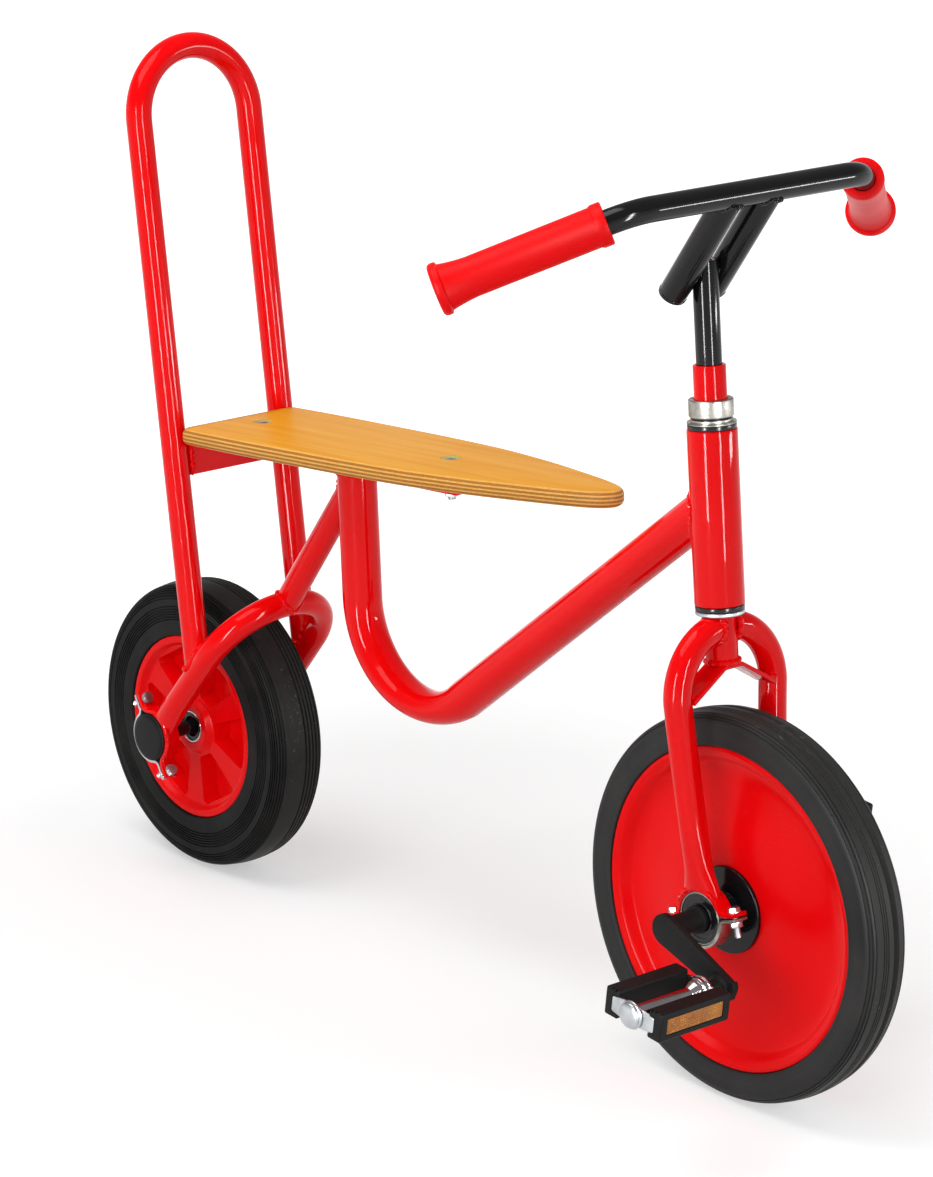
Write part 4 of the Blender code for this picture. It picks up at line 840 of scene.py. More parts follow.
def plywood(name):
    """Varnished birch plywood: long grain on the faces, light and dark plies with glue lines on the edge."""
    material, graph, shader = new_material(name, Specular_IOR_Level=0.10)
    moved = graph.add("VectorMath", {0: graph.coordinates(), 1: SEAT_ORIGIN}, operation="SUBTRACT")[0]
    board = graph.mapped(moved, Rotation=(0.0, SEAT_SLOPE, 0.0))
    depth = graph.add("SeparateXYZ", {0: board})["Z"]
    wave = graph.times(graph.maths("SUBTRACT", graph.noise(board, 24.0, 2.0), 0.5), 0.0004)
    level = graph.times(graph.maths("ADD", depth, wave), -9 / SEAT_THICKNESS)
    odd = graph.maths("PINGPONG", graph.maths("FLOOR", level), 1.0)
    edge = graph.maths("ABSOLUTE", graph.maths("SUBTRACT", graph.maths("FRACT", level), 0.5))
    glue = graph.ramp(edge, 0.40, 0.47)
    below = graph.ramp(depth, -0.0004, -0.0007)
    above = graph.ramp(depth, -SEAT_THICKNESS + 0.0004, -SEAT_THICKNESS + 0.0007)

    figure = graph.noise(graph.mapped(board, Scale=(1.0, 14.0, 14.0)), 5.0, 6.0, 0.6)
    fibres = graph.noise(graph.mapped(board, Scale=(1.0, 42.0, 42.0)), 36.0, 3.0)
    flecks = graph.ramp(fibres, 0.62, 0.74)
    veneer = graph.mix(graph.ramp(figure, 0.35, 0.65), (0.83, 0.37, 0.018), (0.77, 0.315, 0.012))
    veneer = graph.mix(graph.times(flecks, 0.22), veneer, (0.50, 0.20, 0.03))
    pores = graph.spread(graph.noise(board, 900.0, 2.0), 0.0, 1.0)
    end_grain = graph.mix(pores, (0.52, 0.22, 0.035), (0.34, 0.13, 0.02))
    long_ply = graph.mix(graph.spread(fibres, 0.0, 1.0), (0.86, 0.47, 0.13), (0.70, 0.34, 0.07))
    plies = graph.mix(graph.times(glue, 0.55), graph.mix(odd, long_ply, end_grain), (0.16, 0.06, 0.012))
    colour = graph.mix(graph.times(below, above), veneer, plies)
    graph.surface(shader, colour, graph.spread(figure, 0.34, 0.46), fibres, 0.00006)
    return material


def reflector_plastic(name):
    """Clear amber: bright facets over a darker body."""
    material, graph, shader = new_material(name, Coat_Weight=0.15, Coat_Roughness=0.08,
                                           Specular_IOR_Level=0.3)
    coat = graph.coating(700.0, 90.0, 0.5)
    base = graph.mix(graph.spread(coat["Mottle"], 0.0, 1.0), (0.64, 0.25, 0.026), (0.38, 0.12, 0.008))
    graph.link(graph.mix(coat["Dust"], base, (0.9, 0.6, 0.3)), shader["Base Color"])
    graph.link(graph.spread(coat["Mottle"], 0.22, 0.34), shader["Roughness"])
    return material


# Finishes: a material and the slot that it goes into
RED = (painted("red_powder_coat", (0.89, 0.001, 0.003), (0.83, 0.001, 0.002), 0.03, 0.02, (0.05, 0.08),
               (420.0, 0.00001, 9.0), 60.0, 0.12), "red_paint")
WHEEL_RED = (painted("red_wheel_coat", (0.89, 0.001, 0.003), (0.82, 0.001, 0.002), 0.04, 0.04, (0.20, 0.27),
                     (420.0, 0.00002, 9.0), 60.0, 0.08), "red_paint")
BLACK = (painted("black_powder_coat", (0.004, 0.004, 0.005), (0.008, 0.008, 0.009), 0.04, 0.04, (0.09, 0.14),
                 (620.0, 0.000015, 12.0), 60.0, 0.22), "black_paint")
CRANK_BLACK = (painted("crank_black", (0.007, 0.007, 0.007), (0.012, 0.011, 0.011), 0.08, 0.10, (0.48, 0.60),
                       (900.0, 0.00008, 26.0), 80.0, 0.10), "black_paint")
PLASTIC = (painted("black_moulding", (0.006, 0.006, 0.006), (0.011, 0.010, 0.010), 0.10, 0.10, (0.44, 0.54),
                   (1500.0, 0.00008, 30.0), 90.0, 0.12), "black_plastic")
SEAL = (painted("bearing_seal", (0.005, 0.005, 0.006), (0.009, 0.009, 0.010), 0.06, 0.03, (0.14, 0.20),
                (1200.0, 0.00003, 30.0), 90.0, 0.35), "black_plastic")
AXLE_BLACK = (SEAL[0], "black_paint")
GRIP_RED = (painted("grip_rubber", (0.92, 0.002, 0.004), (0.86, 0.002, 0.003), 0.03, 0.02, (0.36, 0.46),
                    (1400.0, 0.00008, 16.0), 70.0, 0.08), "red_grip")
ZINC = (metal("zinc_plate", (0.54, 0.57, 0.58), (0.38, 0.40, 0.42), (0.26, 0.38),
              (1400.0, 0.00004, 60.0)), "zinc")
PEDAL_ZINC = (ZINC[0], "chrome")
STEEL = (metal("turned_steel", (0.38, 0.37, 0.34), (0.22, 0.21, 0.19), (0.24, 0.40),
               (2600.0, 0.00008, 160.0), 0.5), "zinc")
YELLOW_ZINC = (metal("yellow_zinc", (0.84, 0.86, 0.30), (0.66, 0.72, 0.34), (0.42, 0.52),
                     (1400.0, 0.00004, 120.0)), "zinc")
CHROME = (metal("chrome_plate", (0.50, 0.46, 0.47), (0.38, 0.35, 0.36), (0.12, 0.20),
                (700.0, 0.00001, 30.0), 0.1), "chrome")
BROWN_STEEL = (metal("browned_steel", (0.46, 0.31, 0.27), (0.30, 0.19, 0.16), (0.34, 0.46),
                     (1400.0, 0.00004, 90.0)), "zinc")
WOOD = (plywood("varnished_birch_plywood"), "birch_plywood")
AMBER = (reflector_plastic("amber_reflector"), "amber_reflector")
FRONT_RUBBER = (tyre_rubber("front_tyre_rubber", FRONT_HUB, FRONT_RADIUS, 0.010, 0.020, 0.18), "tyre_rubber")
REAR_RUBBER = (tyre_rubber("rear_tyre_rubber", REAR_HUB, REAR_RADIUS, 0.002, 0.008, 0.09), "tyre_rubber")


# Wheels

def eased(start, end, steps):
    """A soft S curve of section points from one to another."""
    run = end[0] - start[0]
    rise = end[1] - start[1]
    return [(start[0] + run * t, start[1] + rise * (0.5 - 0.5 * math.cos(t * math.pi)))
            for t in shares(steps)]


def grooved(line, grooves, depth, width):
    """A section line with V grooves cut square to it at distances along it."""
    line = [Vector(point) for point in line]
    reaches = [0.0]
    for before, after in zip(line, line[1:]):
        reaches.append(reaches[-1] + (after - before).length)
    last = len(line) - 2

    def at(distance, sink):
        i = next((i for i in range(last) if distance <= reaches[i + 1]), last)
        step = line[i + 1] - line[i]
        inwards = Vector((step.y, -step.x)).normalized()
        return tuple(line[i] + step.normalized() * (distance - reaches[i]) + inwards * sink)
    marks = [(reach, 0.0) for reach in reaches
             if all(abs(reach - groove) > width * 0.6 for groove in grooves)]
    for groove in grooves:
        marks += [(groove - width / 2, 0.0), (groove - width / 5, depth), (groove + width / 5, depth),
                  (groove + width / 2, 0.0)]
    return [at(distance, sink) for distance, sink in sorted(marks)]


def tyre_section(radius, bore, width, shoulder, grooves, far_grooves, depth, groove_width):
    """Tyre section: bead, side walls, round shoulders and a crowned tread; its ribs are wider on the left."""
    half = width / 2
    wall = [(bore, half - 0.0022), (bore + 0.0006, half - 0.0006), (bore + 0.0022, half),
            (bore + 0.0036, half - 0.0002), (bore + 0.0050, half)]
    corner = [(radius - TREAD_CROWN - shoulder * (1 - math.cos(a)), half - shoulder * (1 - math.sin(a)))
              for a in (math.pi / 2 * (1 - share) for share in shares(14))]
    flat_half = half - shoulder
    tread = [(radius - TREAD_CROWN * (z / flat_half) ** 2, z)
             for z in (flat_half * (1 - share) for share in shares(6)[1:-1])]
    line = wall + corner + tread
    upper = grooved(line, grooves, depth, groove_width)
    lower = grooved(line, far_grooves, FAR_GROOVE_DEPTH * depth, FAR_GROOVE_WIDTH * groove_width)
    return upper + [(radius, 0.0)] + mirrored(lower)


def build_tyre(where, hub, finish, body, section):
    """A turned tyre with its grooves."""
    lathe(f"{where}_tyre_rubber", section, hub @ ACROSS, finish, body, f"{where}_tyre",
          steps=TYRE_STEPS, smooth=TYRE_SMOOTH)


def build_front_wheel():
    """Pressed disc with its rolled lip, grooved tyre and the two drive flanges."""
    lip = FRONT_WIDTH / 2 - RIM_RECESS - RIM_CURL
    rim = FRONT_RIM - FIT
    valley = (DISC_VALLEY_RADIUS, DISC_VALLEY_DEPTH)
    dome = eased((DISC_CROWN_RADIUS, DISC_CROWN_HALF), valley, 16)
    wall_foot = (DISC_VALLEY_RADIUS + DISC_VALLEY_WIDTH, DISC_VALLEY_DEPTH)
    wall = eased(wall_foot, (rim - DISC_LIP_WIDTH, lip), 10)[1:]
    edge = [(rim - RIM_ROLL + RIM_ROLL * math.sin(a), lip + RIM_CURL * math.cos(a))
            for a in (math.radians(d) for d in (-60, -30, 0, 30, 60, 90))]
    face = [(AXLE_RADIUS + FIT, DISC_CROWN_HALF), (DISC_BORE_RADIUS, DISC_CROWN_HALF), *dome, *wall, *edge]
    lathe("disc", face + mirrored(face), FRONT_HUB @ ACROSS, WHEEL_RED, "front_wheel", "front_wheel_disc",
          steps=DISC_STEPS)

    grooves = spaced(FRONT_GROOVES)
    section = tyre_section(FRONT_RADIUS, FRONT_RIM, FRONT_WIDTH, FRONT_SHOULDER, grooves, grooves[2:],
                           *FRONT_GROOVE_SIZE)
    build_tyre("front", FRONT_HUB, FRONT_RUBBER, "front_wheel", section)

    bore = AXLE_RADIUS + FIT
    collar = AXLE_RADIUS + FLANGE_COLLAR_WALL
    low = DISC_CROWN_HALF + FIT
    high = low + FLANGE_THICKNESS
    top = high + FLANGE_COLLAR_HEIGHT
    flange = rounded([(bore, low, 0), (bore, top, 0.0006), (collar, top, 0.0010), (collar, high, 0.0008),
                      (FLANGE_RADIUS, high, 0.0012), (FLANGE_RADIUS, low, 0)], 4)
    for side, sign in SIDES:
        lathe(f"drive_flange_disc_{side}", flange, FRONT_HUB @ OUTWARDS[sign], BLACK, "front_wheel",
              f"drive_flange_{side}")


def pocket_cutter(height):
    """A pocket between two spokes, with rounded corners and walls that lean outwards."""
    points = []
    for radius, half, corner, way in zip(POCKET_RADII, POCKET_HALF_ANGLES, POCKET_CORNERS, (-1, 1)):
        points += [(radius * math.cos(a), radius * math.sin(a), corner) for a in (way * half, -way * half)]
    piece = filled("pocket", rounded(points), 0)
    bpy.ops.mesh.extrude_region_move(TRANSFORM_OT_translate={"value": (0, 0, height)})
    bpy.ops.transform.resize(value=POCKET_DRAFT, center_override=(sum(POCKET_RADII) / 2, 0, height))
    return outward(piece)


def build_rear_wheel():
    """Moulded wheel with pockets between its spokes, grooved tyre and the two hub bearings."""
    lip = REAR_WIDTH / 2 - RIM_RECESS
    rim = REAR_RIM - FIT
    seat = HUB_BEARING_RADIUS + FIT
    inner = AXLE_RADIUS + 2 * FIT
    web = REAR_HUB_HALF - HUB_BEARING_WIDTH - FIT
    corners = [(inner, web, 0), (seat, web, 0), (seat, REAR_HUB_HALF, 0.0006),
               (REAR_HUB_RADIUS - 0.003, REAR_HUB_HALF, 0.0020),
               (REAR_HUB_RADIUS + 0.002, REAR_FACE_HALF, 0.0030), (rim - 0.0110, REAR_FACE_HALF, 0.0030),
               (rim - 0.0068, lip, 0.0022), (rim, lip, 0.0012)]
    section = rounded(corners + [(r, -z, c) for r, z, c in corners[::-1]], 4)
    wheel = turned("rear_wheel_moulding", section, REAR_WHEEL_STEPS)
    depth = lip - POCKET_WEB / 2 + 0.001
    for flip in (Matrix(), Matrix.Rotation(math.pi, 4, "X")):
        for angle in angles(POCKET_COUNT):
            place = Matrix.Rotation(angle, 4, "Z") @ flip @ shift(0, 0, POCKET_WEB / 2)
            cut(wheel, put(pocket_cutter(depth), place))
    bevelled(wheel, 0.0010, 3, 40.0)
    put(wheel, REAR_HUB @ ACROSS)
    dress(wheel, WHEEL_RED, "rear_wheel_body", "rear_wheel")

    section = tyre_section(REAR_RADIUS, REAR_RIM, REAR_WIDTH, REAR_SHOULDER, spaced(REAR_GROOVES),
                           spaced(REAR_FAR_GROOVES), *REAR_GROOVE_SIZE)
    build_tyre("rear", REAR_HUB, REAR_RUBBER, "rear_wheel_body", section)

    low = web + FIT
    ring = ring_section(HUB_BEARING_RADIUS - 0.0014, HUB_BEARING_RADIUS, low, REAR_HUB_HALF,
                        (0, 0.0003, 0.0005, 0), 3)
    raised = REAR_HUB_HALF - 0.0010
    sunk = REAR_HUB_HALF - 0.0018
    outer = HUB_BEARING_RADIUS - 0.0018
    cover = rounded([(inner, low, 0), (inner, raised, 0.0003), (inner + 0.0012, raised, 0.0003),
                     (inner + 0.0016, sunk, 0), (outer, sunk, 0), (outer, low, 0)], 3)
    for side, sign in SIDES:
        place = REAR_HUB @ OUTWARDS[sign]
        lathe(f"hub_bearing_ring_{side}", ring, place, CHROME, "rear_wheel_body", f"rear_hub_bearing_{side}",
              steps=64)
        lathe(f"hub_bearing_seal_{side}", cover, place, SEAL, "rear_wheel_body", steps=64)


# Clamps, bearings and fasteners

def clamp_place(hub, tilt, y):
    """The middle of a clamp beside a hub, turned as its ears are."""
    return hub @ shift(0, y, 0) @ Matrix.Rotation(tilt, 4, "Y")


def clamp_strip(name, thickness, curve, up):
    """A bent strip over half the bearing, above it (up is 1) or below it (-1), with an ear at each end."""
    ring = BEARING_RADIUS + FIT + thickness / 2
    level = CLAMP_GAP / 2 + thickness / 2
    bend_x = math.sqrt((ring + curve) ** 2 - (level + curve) ** 2)
    lift = math.atan2(level + curve, bend_x)
    reach = CLAMP_BOLT_OFFSET + CLAMP_EAR_MARGIN
    small = [Vector((bend_x, 0, level + curve)) + Matrix.Rotation(a, 3, "Y") @ Vector((0, 0, -curve))
             for a in angles(6, math.pi / 2 - lift)]
    large = [Vector((ring * math.cos(lift + a), 0, ring * math.sin(lift + a)))
             for a in angles(30, math.pi - 2 * lift)]
    line = [Vector((reach, 0, level)), *small, *large, *(Vector((-p.x, 0, p.z)) for p in small[::-1]),
            Vector((-reach, 0, level))]
    line = [Vector((p.x, 0, up * p.z)) for p in line]

    def place(share, row):
        return line[row] + Vector((0, (share - 0.5) * CLAMP_WIDTH, 0))
    strip = wrapped(name, 2, len(line) - 1, place, ends=False)
    modify(strip, "SOLIDIFY", thickness=thickness, offset=0.0, use_even_offset=True)
    for x in (CLAMP_BOLT_OFFSET, -CLAMP_BOLT_OFFSET):
        cut(strip, round_bar("hole", (x, 0, -0.01), (x, 0, 0.01), CLAMP_BOLT_RADIUS + FIT, 24))
    return bevelled(strip, 0.0004, 2, 50.0)


def hexagon(name, flats, low, high, top_up=True, washer=True):
    """A hexagon head or nut with chamfered corners, and a washer face under it."""
    radius = flats / math.cos(math.pi / 6)
    select_only(None)
    middle = (0, 0, (low + high) / 2)
    bpy.ops.mesh.primitive_cylinder_add(vertices=6, radius=radius, depth=high - low, location=middle)
    nut = named(name)
    margin = 0.0002
    profile = [(0.0, low - 0.001), (flats * 1.02, low - 0.001), (radius + margin, low + HEXAGON_CONE),
               (radius + margin, high - HEXAGON_CONE * 0.6), (flats, high + margin), (0.0, high + margin)]
    if not top_up:
        profile = [(r, low + high - z) for r, z in profile[::-1]]
    cut(nut, turned("envelope", profile, 48, closed=False), "INTERSECT")
    bevelled(nut, 0.0002, 2, 25.0)
    if not washer:
        return nut
    foot = low if top_up else high
    face = foot + (WASHER_HEIGHT if top_up else -WASHER_HEIGHT)
    rim = flats * WASHER_RADIUS
    ring = [(CLAMP_BOLT_RADIUS, foot), (rim, foot), (rim, face), (CLAMP_BOLT_RADIUS, face)]
    return joined(name, [nut, turned("washer", ring, 40)])


def threaded_shank(name, radius, low, high, pitch=0.0010, plain_top=0.0):
    """A round shank with a rounded tip and rolled thread ridges."""
    section = [(0.0, low), (radius - 0.0009, low), (radius - 0.0004, low + 0.0005)]
    z = low + 0.0008
    while z + pitch < high - plain_top:
        section += [(radius - 0.00040, z), (radius, z + pitch * 0.35), (radius, z + pitch * 0.55)]
        z += pitch
    section += [(radius - 0.0001, z), (radius - 0.0001, high), (0.0, high)]
    return turned(name, section, 32, closed=False)


def clamp_bolt(name):
    """Bolt, washers and locking nut through both ears."""
    top = CLAMP_GAP / 2 + SHELL_THICKNESS
    bottom = -CLAMP_GAP / 2 - STRAP_THICKNESS
    head = hexagon("head", CLAMP_BOLT_FLATS, top + FIT, top + FIT + CLAMP_BOLT_HEAD - 0.0006)
    nut = hexagon("nut", CLAMP_BOLT_FLATS, bottom - FIT - CLAMP_BOLT_HEAD, bottom - FIT, top_up=False)
    tip = bottom - CLAMP_BOLT_HEAD - CLAMP_BOLT_TAIL
    shank = threaded_shank("shank", CLAMP_BOLT_RADIUS - 0.0001, tip, top + 0.001)
    return joined(name, [head, nut, shank])


def build_clamps(name, hub, tilt, y, body, finish):
    """Straps and bolts of the clamps on both sides."""
    strap = clamp_strip("strap", STRAP_THICKNESS, STRAP_BEND, -1)
    bolt = clamp_bolt("bolt")
    for side, sign in SIDES:
        place = clamp_place(hub, tilt, sign * y)
        twin = copied(strap, f"{name}_strap_{side}", place)
        dress(twin, finish, body, f"{name}_clamp_strap_{side}")
        for where, x in (("front", CLAMP_BOLT_OFFSET), ("rear", -CLAMP_BOLT_OFFSET)):
            own = copied(bolt, f"{name}_bolt_{side}_{where}", place @ shift(x, 0, 0))
            dress(own, ZINC, body, f"{name}_clamp_bolt_{side}_{where}")
    for used in (strap, bolt):
        bpy.data.objects.remove(used)


def build_front_bearings():
    """Ball bearings in the fork ends: a bright outer ring round a sunk black seal with its raised lips."""
    half = BEARING_WIDTH / 2
    inner = AXLE_RADIUS + 2 * FIT
    ring = ring_section(BEARING_RADIUS - 0.0013, BEARING_RADIUS, -half, half,
                        (0.0003, 0.0003, 0.0008, 0.0008), 3)
    face = half - 0.0009
    raised = face + 0.0004
    sunk = face - 0.0004
    outer = BEARING_RADIUS - 0.0015
    cover = rounded([(inner, -face, 0), (inner, raised, 0.0003), (inner + 0.0024, raised, 0.0003),
                     (inner + 0.0032, sunk, 0.0002), (BEARING_RADIUS - 0.0060, sunk, 0.0004),
                     (BEARING_RADIUS - 0.0052, face, 0.0004), (outer, face, 0.0002), (outer, -face, 0)], 3)
    for side, sign in SIDES:
        place = FRONT_HUB @ shift(0, sign * FRONT_CLAMP_Y, 0) @ OUTWARDS[sign]
        lathe(f"bearing_ring_{side}", ring, place, STEEL, "fork", f"front_bearing_{side}")
        lathe(f"bearing_seal_{side}", cover, place, SEAL, "fork")


def build_rear_axle():
    """Axle with centre holes in its ends, and the black bushes that hold it, with their covers."""
    reach = REAR_CLAMP_Y + BUSH_WIDTH / 2 + 0.001
    end = rounded([(0.0025, reach - 0.0016, 0), (0.0040, reach, 0.0003), (AXLE_RADIUS, reach, 0.0010)], 3)
    section = [(0.0, reach - 0.0026), *end]
    lathe("rear_axle_bar", section + mirrored(section), REAR_HUB @ ACROSS, AXLE_BLACK, "frame", "rear_axle",
          steps=64, closed=False)
    wide = BUSH_WIDTH / 2
    bush = ring_section(AXLE_RADIUS + FIT, BEARING_RADIUS, -wide, wide, (0.0006, 0.0006, 0.0012, 0.0012), 3)
    rim = BEARING_RADIUS - 0.0020
    cap = [(0.0, wide - 0.0006), (rim, wide - 0.0006), (rim, wide + 0.0004),
           (BEARING_RADIUS - 0.0030, wide + 0.0010), (BEARING_RADIUS - 0.0060, wide + 0.0013),
           (0.0, wide + 0.0015)]
    for side, sign in SIDES:
        place = REAR_HUB @ shift(0, sign * REAR_CLAMP_Y, 0) @ OUTWARDS[sign]
        lathe(f"rear_bush_ring_{side}", bush, place, PLASTIC, "frame", f"rear_bush_{side}", steps=80)
        lathe(f"rear_bush_cover_{side}", cap, place, PLASTIC, "frame", steps=80, closed=False)


# Crank and pedals

def build_crankshaft():
    """Axle with collars, two flat arms and the pedal spindles, welded together."""
    collar_low = FRONT_CLAMP_Y + BEARING_WIDTH / 2 + 0.001
    collar_high = collar_low + 0.005
    half = rounded([(AXLE_RADIUS, 0.0, 0), (AXLE_RADIUS, collar_low, 0), (CRANK_COLLAR, collar_low, 0.0005),
                    (CRANK_COLLAR, collar_high, 0.0008), (AXLE_RADIUS, collar_high, 0.0004),
                    (AXLE_RADIUS, CRANK_Y + 0.001, 0)], 3)
    section = mirrored(half) + half[1:]
    section = [(0.0, section[0][1]), *section, (0.0, section[-1][1])]
    pieces = [put(turned("crank_axle", section, 64, closed=False), ACROSS)]
    width = CRANK_WIDTH / 2
    end = CRANK_LENGTH + CRANK_END
    outline = [(width * math.cos(a), width * math.sin(a))
               for a in (math.pi * (0.5 + share) for share in shares(20))]
    outline += rounded([(end - 0.0055, -width, 0.002), (end, -width + 0.0085, 0.004),
                        (end, width - 0.0085, 0.004), (end - 0.0055, width, 0.002)], 4)
    tip = PEDAL_GAP + PEDAL_LENGTH - 0.002
    collar = SPINDLE_RADIUS + 0.0045
    spindle = rounded([(collar, SPINDLE_FOOT, 0), (collar, 0.004, 0.001),
                       (SPINDLE_RADIUS + 0.0012, 0.0055, 0.0006), (SPINDLE_RADIUS, PEDAL_GAP - 0.003, 0.001),
                       (SPINDLE_RADIUS, tip, 0.0008), (0.0, tip, 0)], 3)
    spindle = spindle[::-1] + [(0.0, SPINDLE_FOOT)]
    for sign, angle in ((-1, CRANK_ANGLE), (1, CRANK_ANGLE + math.pi)):
        lift = shift(0, sign * (CRANK_Y + CRANK_THICKNESS / 2), 0)
        arm = bevelled(plate("arm", outline, CRANK_THICKNESS), 0.0007)
        pieces.append(put(arm, lift @ Matrix.Rotation(-angle, 4, "Y") @ ACROSS))
        foot = shift(CRANK_LENGTH * math.cos(angle), sign * (CRANK_Y + CRANK_THICKNESS),
                     CRANK_LENGTH * math.sin(angle))
        pieces.append(put(turned("spindle", spindle, 40, closed=False), foot @ OUTWARDS[sign]))
    crank = put(joined("crank_and_axle", pieces), FRONT_HUB)
    dress(crank, CRANK_BLACK, "front_wheel", "crankshaft")
    radius = AXLE_RADIUS + 0.0006
    for side, sign in SIDES:
        points = [FRONT_HUB @ Vector((radius * math.cos(a), sign * CRANK_Y, radius * math.sin(a)))
                  for a in angles(72)]
        weld(f"weld_crank_{side}", points, CRANK_WELD, sign * 3.0, CRANK_BLACK, "front_wheel")


def pedal_plate(name, z):
    """An end plate: wide at the middle, narrow at its tips, with rounded corners."""
    half = PLATE_HEIGHT / 2
    tip = PLATE_TIP_HEIGHT / 2
    waist = PEDAL_CAP_RADIUS
    span = PLATE_HALF_SPAN
    upper = [(span, tip, 0.0022), (waist, half, 0.003), (-waist, half, 0.003), (-span, tip, 0.0022)]
    outline = rounded(upper + [(-x, -y, corner) for x, y, corner in upper], 4)
    return put(bevelled(plate(name, outline, PLATE_THICKNESS), 0.0005), shift(0, 0, z))


def reflector_lens(name):
    """A lens whose face is a grid of small prisms, in a smooth border."""
    length = REFLECTOR_LENGTH - 2 * FIT
    height = REFLECTOR_HEIGHT - 2 * FIT
    inner_length = length - 2 * REFLECTOR_BORDER
    inner_height = height - 2 * REFLECTOR_BORDER
    select_only(None)
    bpy.ops.mesh.primitive_grid_add(x_subdivisions=24, y_subdivisions=5, size=1)
    lens = named(name)
    for vertex in lens.data.vertices:
        vertex.co = (vertex.co.x * inner_length, vertex.co.y * inner_height, 0)
    edit(lens)
    bpy.ops.mesh.select_mode(type="FACE")
    bpy.ops.mesh.select_all(action="SELECT")
    bpy.ops.mesh.poke(offset=-PRISM_DEPTH)
    bpy.ops.mesh.select_mode(type="EDGE")
    bpy.ops.mesh.select_all(action="DESELECT")
    bpy.ops.mesh.select_non_manifold(extend=False, use_boundary=True, use_wire=False, use_multi_face=False,
                                     use_non_contiguous=False, use_verts=False)
    bpy.ops.mesh.extrude_edges_move(TRANSFORM_OT_translate={"value": (0, 0, 0)})
    bpy.ops.transform.resize(value=(length / inner_length, height / inner_height, 1),
                             center_override=(0, 0, 0))
    bpy.ops.mesh.extrude_edges_move(TRANSFORM_OT_translate={"value": (0, 0, 0.0016 - REFLECTOR_DEPTH)})
    bpy.ops.mesh.edge_face_add()
    return outward(lens)


def pedal_block(name, up):
    """A tread block: bevelled, notched at the ends of its edges, with a framed seat for its reflector."""
    middle = PEDAL_GAP + PEDAL_LENGTH / 2
    ends = (PEDAL_GAP, PEDAL_GAP + PEDAL_LENGTH)
    block = bevelled(box(name, (BLOCK_DEPTH, BLOCK_HEIGHT, PEDAL_LENGTH)), 0.0022, 4)
    put(block, shift(up * BLOCK_OFFSET, 0, middle))
    face = up * (BLOCK_OFFSET + BLOCK_DEPTH / 2)
    cut(block, box("seat", (2 * REFLECTOR_DEPTH, REFLECTOR_HEIGHT, REFLECTOR_LENGTH), shift(face, 0, middle)))
    slot_size = (2 * (PLATE_HALF_SPAN + FIT), PLATE_TIP_HEIGHT + 2 * FIT, 2 * (PLATE_THICKNESS + FIT))
    for end in ends:
        cut(block, box("slot", slot_size, shift(0, 0, end)))
    inner_face = up * (BLOCK_OFFSET - BLOCK_DEPTH / 2)
    for end in ends:
        for y in (-BLOCK_HEIGHT / 2, BLOCK_HEIGHT / 2):
            for step, depth in ((0.0035, 0.0016), (0.0078, 0.0010)):
                cut(block, box("notch", (0.0016, 2 * depth, 0.0050), shift(inner_face + up * step, y, end)))
    return block


